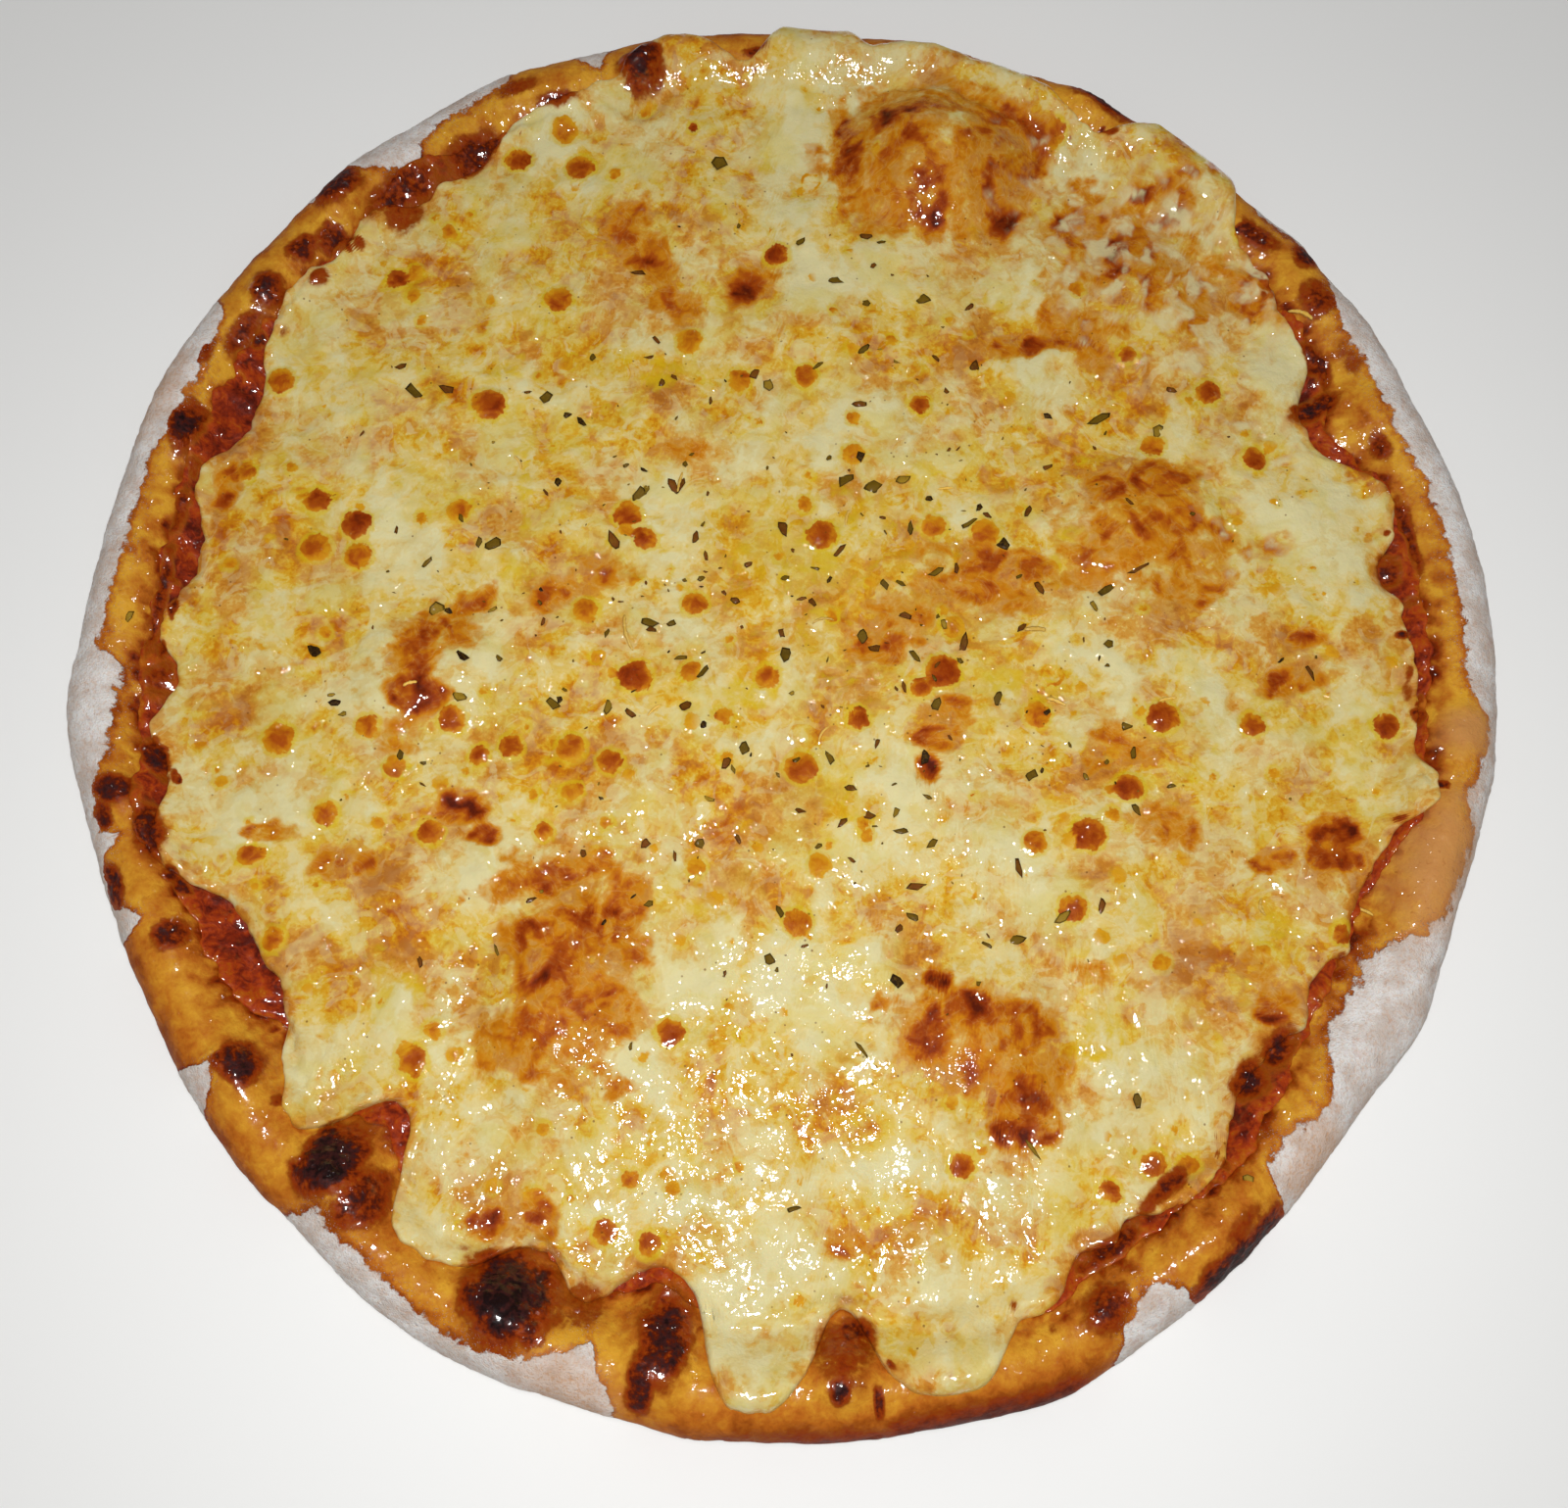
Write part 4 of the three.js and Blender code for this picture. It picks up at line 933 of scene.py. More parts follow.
def rim_grid():
    """Rings of points from the rim's foot over its crest and inwards, the
    radius at each point, and how far in each ring lies."""
    angle = 360.0 * np.arange(RIM_AROUND) / RIM_AROUND
    a = np.radians(angle)
    inset = np.concatenate([FOOT_INSET * (1.0 - np.sin(UNDER)), CREST_INSET * (1.0 - np.cos(OVER)),
                            np.arange(CREST_INSET + RIM_STEP, RIM_DEPTH, RIM_STEP)])
    radius = outline(angle)[None, :] - inset[:, None]
    grid = np.stack([radius * np.cos(a), radius * np.sin(a), np.zeros(radius.shape)], 2)
    grid[:, :, 2] = crust_top(grid[:, :, 0], grid[:, :, 1])
    grid[:WIDEST_RING, :, 2] = (WIDEST_HEIGHT * (1.0 - np.cos(UNDER)))[:, None]
    return grid, radius, inset


def unrolled(grid, radius, inset):
    """The radius of each point with the rim's outside laid flat, and its way
    in from the widest ring, which is negative below that ring."""
    step = np.linalg.norm(np.diff(grid[:, ::40], axis=0), axis=2).mean(1)
    run = np.concatenate([[0.0], np.cumsum(step)])
    ring = np.arange(len(inset))
    further = np.where(ring < CREST_RING, run[CREST_RING] - run - (inset[CREST_RING] - inset), 0.0)
    s = np.where(ring < WIDEST_RING, run - run[WIDEST_RING], inset)
    return radius + further[:, None], s[:, None] + np.zeros_like(radius)


def crust_fields(x, y, z, s):
    """What the crust's material reads at each point."""
    burn = scorch(x, y, s)
    flour = flour_field(x, y, z, s, burn)
    pale = rim_spots(x, y, s, RIM_PALE, 0.3, 0.6)
    wet = smooth((s - 6.5) / 3.0) * smooth(-flour / 2.0)
    sole_share = 0.75 * smooth((-s - 3.5 + layered(x, y, 4.5, 2, 66, z)) / 3.0)
    return {"toast": crust_toast(x, y, z, s, pale), "pale": pale, "wet": wet, "flour": flour,
            "burn": burn, "base": sole_share}


def plain_dough(count, base):
    """The same for dough that is hidden, or on the underside if base is 1."""
    plain = np.zeros(count)
    return {"toast": plain, "pale": plain + 1.0, "wet": plain, "flour": plain + NO_FLOUR,
            "burn": plain, "base": plain + base}


def sole_height(x, y):
    """The flat underside, dimpled a little where steam held it off the stone."""
    inside = smooth((outline(direction_of(x, y)) - FOOT_INSET - np.hypot(x, y)) / 4.0)
    dimples = np.clip(noise(x, y, 11.0, 71) + 0.4 * noise(x, y, 4.0, 72), 0.0, None)
    return inside * 0.55 * dimples


def add_dough_disc(shell, border, rings, inset, height, middle, base):
    """Plain dough from a border in to the middle, on top or underneath."""
    made = []
    for share, count in rings:
        turns = 360.0 * np.arange(count) / count
        radius = share * (outline(turns) - inset)
        points = ring_at(radius, turns, 0.0)
        points[:, 2] = height(points[:, 0], points[:, 1])
        made.append(shell.add_points(points, radius, **plain_dough(count, base)))
    centre = shell.add_points([[0, 0, middle]], [0.0], **plain_dough(1, base))
    shell.close(border, made, centre, lower=base > 0)


def make_crust():
    grid, radius, inset = rim_grid()
    rho, s = unrolled(grid, radius, inset)
    x, y, z = (grid[:, :, k].ravel() for k in range(3))
    fields = crust_fields(x, y, z, s.ravel())
    relief = crust_relief(x, y, z, fields["flour"], fields["burn"]).reshape(s.shape)
    relief *= smooth(np.arange(len(inset)) / FOOT_RINGS)[:, None]
    grid += outward_normals(grid) * relief[:, :, None]
    grid[:, :, 2] = np.maximum(grid[:, :, 2], 0.0)
    shell = Shell()
    rings = []
    for k in range(len(inset)):
        here = {name: value.reshape(s.shape)[k] for name, value in fields.items()}
        rings.append(shell.add_points(grid[k], rho[k], **here))
    shell.band(rings)
    add_dough_disc(shell, rings[-1], HIDDEN_RINGS, RIM_DEPTH, crust_top, crust_top(0.0, 0.0), 0.0)
    sole = [(1.0 - k / SOLE_RINGS, 360 if k < 30 else 180 if k < 46 else 60)
            for k in range(1, SOLE_RINGS)]
    add_dough_disc(shell, rings[0], sole, FOOT_INSET, sole_height, SOLE_MIDDLE, 1.0)
    return add_mesh("dough_crust", shell)


# ----------------------------------------------------------------------- sauce

SAUCE_AROUND = 960
# The sauce's outer side, upwards: (how far out, how far under the crust's
# top, step out in the UV map)
SAUCE_SIDE = [(-0.3, 0.6, 3.0), (0.2, 0.0, 2.0), (0.15, -0.6, 1.0)]
SAUCE_DEPTHS = [0.0, 0.3, 0.7, 1.2, *np.arange(2.0, 34.0, 0.8)]
# Rings farther in: (share of the way out, points), and the hidden
# underside's: (how far in from the edge, points)
SAUCE_INNER = [(0.9, 320), (0.75, 160), (0.6, 160), (0.45, 80), (0.3, 80), (0.15, 40)]
SAUCE_UNDER = [(2, 480), (5, 480), (8, 240), (12, 240), (18, 240), (40, 120), (80, 60)]
SAUCE_SINK = 0.3
NEAR_MIDDLE = 0.1
HIDDEN_STEW = 0.6


def sauce_top(x, y):
    angle = direction_of(x, y)
    depth = sauce_edge(angle) - np.hypot(x, y)
    first, pick = cells(x + noise(x, y, 3.0, 81), y + noise(x, y, 3.0, 82), 4.2, 17)
    lumps = bubble(first / (0.35 + 0.4 * pick)) * (0.3 + 0.9 * pick)
    rough = 0.3 * noise(x, y, 2.4, 83) + 0.12 * noise(x, y, 1.1, 84)
    hidden = smooth((cheese_edge(angle) - np.hypot(x, y)) / 2.0)
    return (crust_top(x, y) + layer_thickness(depth, SAUCE_THICKNESS, SAUCE_ROUNDING)
            + (1.0 - hidden) * smooth(depth / 1.5) * (lumps + rough) - 0.5 * hidden)


def sauce_stew(x, y):
    """How dark the sauce boiled down: 0 oily amber, 0.5 red, 1 nearly black."""
    angle = direction_of(x, y)
    depth = sauce_edge(angle) - np.hypot(x, y)
    middle = layered(x, y, 5.0, 3, 85)
    small = layered(x, y, 1.9, 2, 86)
    oily = smooth((0.9 - depth + 2.0 * middle) / 2.4)
    band = around(angle, SAUCE_DEPTH) * smooth(depth / 3.0)
    return 0.4 + 0.4 * band + 0.4 * middle + 0.3 * small - 0.2 * oily


def sauce_ring(shell, count, inward, share=1.0, drop=None, out=0.0):
    """A ring on top of the sauce, or under the crust's top by a given drop."""
    turns = 360.0 * np.arange(count) / count
    radius = share * (sauce_edge(turns) - inward)
    points = ring_at(radius, turns, 0.0)
    x, y = points[:, 0], points[:, 1]
    points[:, 2] = sauce_top(x, y) if drop is None else crust_top(x, y) - drop
    burn = scorch(x, y, rim_inset(x, y))
    return shell.add_points(points, radius + out, stew=sauce_stew(x, y), burn=burn)


def make_sauce():
    shell = Shell()
    rings = [sauce_ring(shell, SAUCE_AROUND, -lean, 1.0, drop, out) for lean, drop, out in SAUCE_SIDE]
    rings += [sauce_ring(shell, SAUCE_AROUND, depth) for depth in SAUCE_DEPTHS]
    shell.band(rings)
    inner = [sauce_ring(shell, count, SAUCE_DEPTHS[-1], share) for share, count in SAUCE_INNER]
    middle = sauce_top(np.array([NEAR_MIDDLE]), np.array([NEAR_MIDDLE]))[0]
    centre = shell.add_points([[0, 0, middle]], [0.0], stew=[HIDDEN_STEW], burn=[0.0])
    shell.close(rings[-1], inner, centre)
    under = [sauce_ring(shell, count, depth, drop=SAUCE_SINK) for depth, count in SAUCE_UNDER]
    middle = crust_top(0.0, 0.0) - SAUCE_SINK
    centre = shell.add_points([[0, 0, middle]], [0.0], stew=[HIDDEN_STEW], burn=[0.0])
    shell.close(rings[0], under, centre, lower=True)
    return add_mesh("sauce_layer", shell)


# ----------------------------------------------------------------------- herbs


def surface_at(x, y):
    x, y = np.atleast_1d(x).astype(float), np.atleast_1d(y).astype(float)
    return cheese_top(x, y, melt(x, y))


def flake_rows():
    """The flakes that stand out, and smaller ones sprinkled by chance."""
    chance = np.random.default_rng(SEED + 2)
    rows = list(FLAKES)
    while len(rows) < len(FLAKES) + SPRINKLE_COUNT:
        distance = SPRINKLE_RADIUS * math.sqrt(-math.log(1.0 - 0.97 * chance.random()))
        turn = 2.0 * math.pi * chance.random()
        x, y = distance * math.cos(turn), distance * math.sin(turn)
        if cheese_edge(direction_of(x, y)) - distance < 5.0:
            continue
        if min(math.hypot(x - row[0], y - row[1]) for row in rows) < 1.6:
            continue
        length = 0.6 + 3.2 * chance.random() ** 2.2
        tone = chance.choice([0, 1, 2, 3], p=[0.4, 0.36, 0.1, 0.14])
        width = length * chance.uniform(0.3, 0.75)
        rows.append((x, y, length, width, chance.uniform(0, 180), tone))
    return rows


# A flake's rings from its outline in: (share of its size, of its thickness)
FLAKE_RINGS = [(1.0, 0.0), (0.72, 0.5), (0.36, 0.8)]
FLAKE_THICKNESS = 0.16
FLAKE_LIFT = 0.22


def skin_faces(rings, top, sides, upper):
    """One skin of a flake, from its outline through smaller rings to a point."""
    k = np.arange(sides)
    after = (k + 1) % sides
    if not upper:
        k, after = after, k
    faces = []
    for low, high in zip(rings[:-1], rings[1:]):
        faces += np.stack([low + k, low + after, high + after, high + k], 1).tolist()
    last = rings[-1]
    return faces + np.stack([last + k, last + after, np.full(sides, top)], 1).tolist()


def flake_faces(sides):
    top = 3 * sides
    upper = skin_faces([0, sides, 2 * sides], top, sides, True)
    return upper + skin_faces([0, top + 1, top + 1 + sides], top + 1 + 2 * sides, sides, False)


def add_flake(parts, x, y, z, length, width, heading, tone, chance):
    """A curled scrap of dried leaf: two skins that meet in an uneven outline."""
    sides = int(chance.integers(5, 9))
    turn = 2.0 * math.pi * (np.arange(sides) + 0.8 * chance.random(sides)) / sides
    shape = 0.7 + 0.6 * chance.random(sides)
    curl, bow = chance.uniform(-0.25, 0.35), chance.uniform(-0.12, 0.12)
    twist = chance.uniform(-0.25, 0.25)
    lean, roll = chance.uniform(-0.2, 0.2), chance.uniform(-0.3, 0.3)
    a = math.radians(heading)

    def place(u, v, lift):
        h = curl * v * v + bow * u * u + twist * u * v / max(width, 0.5)
        h = h + lean * u + roll * v + 0.12 * noise(u + 5.0 * x, v + 5.0 * y, 0.8, 91) + lift
        return np.column_stack([x + u * math.cos(a) - v * math.sin(a),
                                y + u * math.sin(a) + v * math.cos(a), z + FLAKE_LIFT + h])

    points, rims = [], []
    for side in (1, -1):
        for share, full in (FLAKE_RINGS if side > 0 else FLAKE_RINGS[1:]):
            u = 0.5 * length * share * shape * np.cos(turn)
            v = 0.5 * width * share * shape * np.sin(turn)
            points.append(place(u, v, side * FLAKE_THICKNESS * full))
            rims.append(np.full(sides, share))
        points.append(place(np.zeros(1), np.zeros(1), side * FLAKE_THICKNESS))
        rims.append(np.zeros(1))
    colour = HERB_TONES[tone] * chance.uniform(0.75, 1.25)
    add_part(parts, points, np.concatenate(rims), colour, flake_faces(sides))


def new_parts():
    return {"points": [], "faces": [], "tint": [], "rim": [], "count": 0}


def add_part(parts, points, rim, colour, faces):
    """One flake or stalk. Its faces are numbered from its own first point."""
    start = parts["count"]
    parts["points"] += points
    parts["rim"].append(rim)
    parts["tint"].append(np.tile(colour, (len(rim), 1)))
    parts["faces"] += [[start + k for k in face] for face in faces]
    parts["count"] += len(rim)


def add_parts(name, parts):
    mesh = bpy.data.meshes.new(name)
    mesh.from_pydata((np.concatenate(parts["points"]) * MM).tolist(), [], parts["faces"])
    mesh.update()
    mesh.polygons.foreach_set("use_smooth", np.ones(len(mesh.polygons), bool))
    tint = np.concatenate(parts["tint"])
    tint = np.column_stack([tint, np.ones(len(tint))]).astype(np.float32)
    mesh.attributes.new("tint", "FLOAT_COLOR", "POINT").data.foreach_set("color", tint.ravel())
    rim = np.concatenate(parts["rim"]).astype(np.float32)
    mesh.attributes.new("rim", "FLOAT", "POINT").data.foreach_set("value", rim)
    piece = bpy.data.objects.new(name, mesh)
    bpy.context.scene.collection.objects.link(piece)
    return piece


def make_flakes():
    chance = np.random.default_rng(SEED + 3)
    rows = flake_rows()
    parts = new_parts()
    heights = surface_at([row[0] for row in rows], [row[1] for row in rows])
    for (x, y, length, width, heading, tone), z in zip(rows, heights):
        add_flake(parts, x, y, z, length, width, heading, tone, chance)
    for angle, inset, length, width, heading in RIM_CHIPS:
        a, r = math.radians(angle), float(outline(angle)) - inset
        x, y = r * math.cos(a), r * math.sin(a)
        add_flake(parts, x, y, float(crust_top(x, y)), length, width, heading, 3, chance)
    return add_parts("oregano_flakes", parts)


STALK_SIDES = 10
STALK_STEPS = 12
STALK_RIM = 0.4


def stalk_faces():
    """A stalk's sides, and its two ends, each closed to a point."""
    k = np.arange(STALK_SIDES)
    after = (k + 1) % STALK_SIDES
    faces = []
    for low in range(0, (STALK_STEPS - 1) * STALK_SIDES, STALK_SIDES):
        high = low + STALK_SIDES
        faces += np.stack([low + after, low + k, high + k, high + after], 1).tolist()
    last = (STALK_STEPS - 1) * STALK_SIDES
    head = np.full(STALK_SIDES, last + STALK_SIDES)
    faces += np.stack([k, after, head], 1).tolist()
    return faces + np.stack([last + after, last + k, head + 1], 1).tolist()


def add_stalk(parts, x, y, length, thick, heading, bend, chance):
    """A thin, slightly bent stalk, tapered and ribbed along its length."""
    a = math.radians(heading)
    t = np.linspace(-0.5, 0.5, STALK_STEPS)
    off = bend * length * 0.25 * (1.0 - 4.0 * t * t)
    cx = x + length * t * math.cos(a) - off * math.sin(a)
    cy = y + length * t * math.sin(a) + off * math.cos(a)
    on_cheese = cheese_edge(direction_of(x, y)) > math.hypot(x, y)
    cz = surface_at(cx, cy) if on_cheese else crust_top(cx, cy)
    cz = 0.7 * cz + 0.3 * cz.max() + 0.25 * thick
    uneven = 1.0 + 0.15 * chance.standard_normal(STALK_STEPS)
    radius = 0.5 * thick * (0.75 + 0.25 * np.cos(math.pi * t)) * uneven
    radius[[0, -1]] *= 0.6
    turn = 2.0 * math.pi * np.arange(STALK_SIDES) / STALK_SIDES
    points = []
    for k in range(STALK_STEPS):
        r = radius[k] * (1.0 + 0.14 * np.cos(5 * turn))
        points.append(np.column_stack([cx[k] - r * np.cos(turn) * math.sin(a),
                                       cy[k] + r * np.cos(turn) * math.cos(a),
                                       cz[k] + 0.8 * r * np.sin(turn)]))
    points.append(np.array([[cx[0], cy[0], cz[0]], [cx[-1], cy[-1], cz[-1]]]))
    rim = np.full(STALK_STEPS * STALK_SIDES + 2, STALK_RIM)
    add_part(parts, points, rim, STRAW * chance.uniform(0.8, 1.2), stalk_faces())


def make_stalks():
    chance = np.random.default_rng(SEED + 4)
    parts = new_parts()
    for row in STALKS:
        add_stalk(parts, *row, chance)
    return add_parts("herb_stalks", parts)


# ------------------------------------------------------------------- materials


class Looks:
    """A material's nodes, added a few words at a time."""

    def __init__(self, name):
        self.material = bpy.data.materials.new(name)
        self.material.use_nodes = True
        self.tree = self.material.node_tree
        self.tree.nodes.clear()
        self.place = self.add("ShaderNodeTexCoord").outputs["Object"]

    def add(self, kind, inputs=None, **settings):
        made = self.tree.nodes.new(kind)
        for name, value in settings.items():
            setattr(made, name, value)
        for name, value in (inputs or {}).items():
            if isinstance(value, bpy.types.NodeSocket):
                self.tree.links.new(value, made.inputs[name])
            else:
                made.inputs[name].default_value = value
        return made

    def field(self, name):
        return self.add("ShaderNodeAttribute", attribute_name=name).outputs

    def noise(self, size, detail=3.0, rough=0.55, warp=0.0):
        """Noise with bumps about one size apart, in millimetres."""
        inputs = {"Vector": self.place, "Scale": 1.0 / (size * MM), "Detail": detail,
                  "Roughness": rough, "Distortion": warp}
        return self.add("ShaderNodeTexNoise", inputs).outputs["Fac"]

    def cells(self, size, feature="F1", smoothness=0.0):
        inputs = {"Vector": self.place, "Scale": 1.0 / (size * MM)}
        if feature == "SMOOTH_F1":
            inputs["Smoothness"] = smoothness
        return self.add("ShaderNodeTexVoronoi", inputs, feature=feature).outputs["Distance"]

    def math(self, operation, a, b=0.0, c=0.0):
        return self.add("ShaderNodeMath", {0: a, 1: b, 2: c}, operation=operation).outputs[0]

    def plus(self, a, b):
        return self.math("ADD", a, b)

    def minus(self, a, b):
        return self.math("SUBTRACT", a, b)

    def times(self, a, b):
        return self.math("MULTIPLY", a, b)

    def times_plus(self, a, b, c):
        return self.math("MULTIPLY_ADD", a, b, c)

    def larger(self, a, b):
        return self.math("MAXIMUM", a, b)

    def fit(self, value, low, high, to_low=0.0, to_high=1.0):
        """A value that runs smoothly from one range to another."""
        inputs = {"Value": value, "From Min": low, "From Max": high, "To Min": to_low,
                  "To Max": to_high}
        made = self.add("ShaderNodeMapRange", inputs, interpolation_type="SMOOTHSTEP")
        return made.outputs["Result"]

    def mix(self, share, a, b):
        made = self.add("ShaderNodeMix", data_type="RGBA")
        for k, value in ((0, share), (6, a), (7, b)):
            if isinstance(value, bpy.types.NodeSocket):
                self.tree.links.new(value, made.inputs[k])
            elif k == 0:
                made.inputs[k].default_value = value
            else:
                made.inputs[k].default_value = (*value, 1.0)
        return made.outputs[2]

    def sway(self, value, noise, amount):
        """A value made uneven by a noise that goes from 0 to 1."""
        return self.times_plus(self.minus(noise, 0.5), amount, value)

    def ramp(self, value, stops):
        """The colour between the two stops that a value lies between."""
        low, high = stops[0][0], stops[-1][0]
        share = self.add("ShaderNodeMapRange", {"Value": value, "From Min": low, "From Max": high})
        made = self.add("ShaderNodeValToRGB", {"Fac": share.outputs["Result"]})
        elements = made.color_ramp.elements
        for element, (_, colour) in zip(elements, (stops[0], stops[-1])):
            element.color = (*colour, 1.0)
        for at, colour in stops[1:-1]:
            elements.new((at - low) / (high - low)).color = (*colour, 1.0)
        return made.outputs["Color"]

    def burnt(self, colour, burn, mottle):
        """A colour with its toasted to charred places on it."""
        rough_part = self.sway(self.times(mottle, 1.2), self.noise(1.1, 3.0), 1.4)
        heat = self.sway(burn, rough_part, self.fit(burn, 0.0, 0.9, 0.05, 1.0))
        return self.mix(self.fit(heat, 0.06, 0.34), colour, self.ramp(heat, BURNING))

    def bump(self, height, distance):
        inputs = {"Height": height, "Distance": distance * MM, "Strength": 1.0}
        return self.add("ShaderNodeBump", inputs).outputs["Normal"]

    def finish(self, inputs):
        shader = self.add("ShaderNodeBsdfPrincipled", inputs)
        self.add("ShaderNodeOutputMaterial", {"Surface": shader.outputs[0]})
        return self.material


def glints(n, wet):
    """A thin film of oil: fine waves, and small domes that catch the light."""
    ripples_here = n.fit(n.noise(7.0), 0.42, 0.58, 0.06, 0.28)
    film = n.times_plus(n.noise(1.6, 1.0), ripples_here, n.times(n.noise(0.6, 1.0), 0.03))
    film = n.times_plus(n.noise(4.0, 2.0), 0.32, film)
    steep = n.times_plus(wet, 0.3, n.fit(n.noise(5.0), 0.38, 0.62, 0.2, 0.9))
    for size in (3.0, 6.0, 8.0):
        away = n.cells(size)
        dome = n.larger(n.times_plus(n.times(away, away), -12.0, 1.0), 0.0)
        film = n.times_plus(n.times(dome, 0.1 * size), steep, film)
    return n.bump(film, 1.0)


def melted_colour(n, cheese, mottle, grain, curd):
    """Milky, buttery, orange or tan, by how the cheese cooked and dried."""
    cooked = cheese["cooked"]
    lively = n.fit(cooked, -0.6, 0.3, 0.35, 1.0)
    rough_part = n.sway(n.sway(n.times(curd, 0.9), mottle, 1.6), grain, 0.8)
    hue = n.times_plus(n.minus(rough_part, 0.45), lively, cooked)
    # melted in layers, so the colour changes in steps more than evenly
    hue = n.times_plus(n.math("SINE", n.times(hue, 18.0)), -0.05, hue)
    dry = n.fit(n.sway(cheese["dried"], mottle, 1.2), 0.35, 0.8)
    colour = n.mix(dry, n.ramp(hue, FRIED), n.ramp(hue, DRIED))
    colour = n.mix(n.times(cheese["milk"], 0.3), colour, PALE_CHEESE)
    veil = n.fit(n.noise(7.0, 6.0, 0.55, warp=1.8), 0.51, 0.56)
    colour = n.mix(n.times(veil, n.fit(cooked, 1.0, -0.2, 0.1, 0.5)), colour, PALE_CHEESE)
    oiled = n.fit(n.sway(cheese["oil"], mottle, 1.2), 0.25, 0.9, 0.0, 0.75)
    colour = n.mix(oiled, colour, GOLD_OIL)
    green = n.fit(n.noise(12.0, 4.0, warp=0.6), 0.5, 0.62, 0.0, 0.35)
    return n.mix(n.times(green, n.fit(cooked, 0.9, 0.2)), colour, GREEN_OIL)


def browned_colour(n, cheese, colour, mottle, curd):
    """Patches that browned, with a mauve fringe, milky threads and torn pale
    cheese on them."""
    brown, lace = cheese["brown"], cheese["lace"]
    here = n.fit(brown, 0.0, 0.2)
    fried = n.sway(n.sway(brown, mottle, n.times(here, 0.5)), curd, here)
    colour = n.mix(n.fit(fried, 0.05, 0.3, 0.0, 0.4), colour, MAUVE)
    colour = n.mix(n.fit(fried, 0.1, 0.45), colour, n.ramp(n.minus(fried, 0.08), BROWNING))
    thread = n.math("ABSOLUTE", n.minus(n.noise(6.0, 3.0, 0.5, warp=1.6), 0.5))
    thread = n.times(n.fit(thread, 0.0, 0.04, 0.16, 0.0), n.fit(fried, 1.0, 0.4))
    colour = n.mix(n.times(thread, here), colour, CREAM)
    torn = n.sway(n.sway(lace, mottle, n.times(lace, 1.4)), curd, n.times(lace, 2.4))
    return n.mix(n.fit(torn, 0.2, 1.15, 0.0, 0.85), colour, PALE_CHEESE)


def blistered_colour(n, cheese, colour, mottle, grain, curd):
    """Blisters, browner towards the middle, with an amber halo."""
    brown, dark = cheese["brown"], cheese["dark"]
    inside = n.sway(n.sway(cheese["blister"], mottle, 1.9), grain, 0.6)
    halo = n.times(n.fit(inside, -1.2, -0.4, 0.0, 0.65), n.fit(dark, 0.1, 0.6))
    colour = n.mix(n.times(halo, n.fit(brown, 0.3, 0.1)), colour, GOLD_OIL)
    tone = n.sway(n.plus(dark, n.fit(inside, 0.0, 1.8, -0.4, -0.08)), mottle, 0.7)
    tone = n.sway(tone, curd, 0.6)
    top = n.times(n.fit(inside, -0.2, 0.2), n.fit(n.minus(dark, brown), -0.1, 0.25))
    return n.mix(top, colour, n.ramp(tone, BLISTERING))


# What the shaders of cheese, sauce and crust have in common
GLOSSY = {"Specular IOR Level": 0.05, "Coat IOR": 1.6}


def cheese_look():
    n = Looks("melted_cheese_look")
    cheese = {name: n.field(name)["Fac"] for name in CHEESE_FIELDS}
    mottle, grain = n.noise(2.4, 3.0, 0.5, warp=0.8), n.noise(0.7, 2.0, 0.5)
    curd = n.noise(5.5, 3.0, 0.5, warp=1.2)
    colour = melted_colour(n, cheese, mottle, grain, curd)
    colour = browned_colour(n, cheese, colour, mottle, curd)
    colour = blistered_colour(n, cheese, colour, mottle, grain, curd)
    # crumbs of herb too small to be flakes
    crumbs = n.fit(n.cells(2.9), 0.06, 0.1, 0.65, 0.0)
    colour = n.mix(n.times(crumbs, n.fit(n.noise(16.0, 2.0), 0.45, 0.55)), colour, HERB_TONES[1])
    colour = n.burnt(colour, cheese["burn"], mottle)
    skin = n.bump(n.times_plus(mottle, 0.8, grain), 0.14)
    film = glints(n, n.plus(cheese["brown"], cheese["burn"]))
    wetness = n.fit(n.noise(9.0, 3.0), 0.4, 0.56, 0.1, 1.0)
    return n.finish({**GLOSSY, "Base Color": colour, "Roughness": n.fit(grain, 0.3, 0.7, 0.45, 0.6),
                     "Normal": skin, "Coat Weight": wetness, "Coat Roughness": 0.065,
                     "Coat Normal": film, "Subsurface Weight": 0.15,
                     "Subsurface Radius": (1.0, 0.6, 0.3), "Subsurface Scale": 0.0012})


def sauce_look():
    n = Looks("tomato_sauce_look")
    stew, burn = n.field("stew")["Fac"], n.field("burn")["Fac"]
    pulp, grain = n.noise(2.4, 4.0, 0.55, warp=1.2), n.noise(0.7, 2.0)
    tone = n.sway(n.sway(stew, pulp, 1.8), grain, 0.5)
    colour = n.burnt(n.ramp(tone, STEWING), burn, pulp)
    normal = n.bump(n.times_plus(grain, 0.4, pulp), 0.35)
    film = glints(n, n.fit(stew, 0.2, 0.8))
    wetness = n.fit(n.noise(6.0, 3.0), 0.38, 0.58, 0.3, 1.0)
    return n.finish({**GLOSSY, "Base Color": colour, "Roughness": n.fit(grain, 0.3, 0.7, 0.35, 0.55),
                     "Normal": normal, "Coat Weight": wetness, "Coat Roughness": 0.1,
                     "Coat Normal": film, "Subsurface Weight": 0.06,
                     "Subsurface Radius": (1.0, 0.25, 0.1), "Subsurface Scale": 0.001})


def sole_colour(n, flour_patches):
    """The underside: pale dough, scorched and floured in spots."""
    browned = n.mix(n.fit(n.noise(22.0, 4.0), 0.35, 0.7, 0.1, 0.8), DOUGH, TOASTED)
    scorched = n.fit(n.noise(9.0, 5.0, 0.6, warp=0.4), 0.5, 0.62, 0.0, 0.85)
    sole = n.mix(scorched, browned, SCORCHED_SOLE)
    return n.mix(n.times(flour_patches, 0.75), sole, FLOUR_THIN)


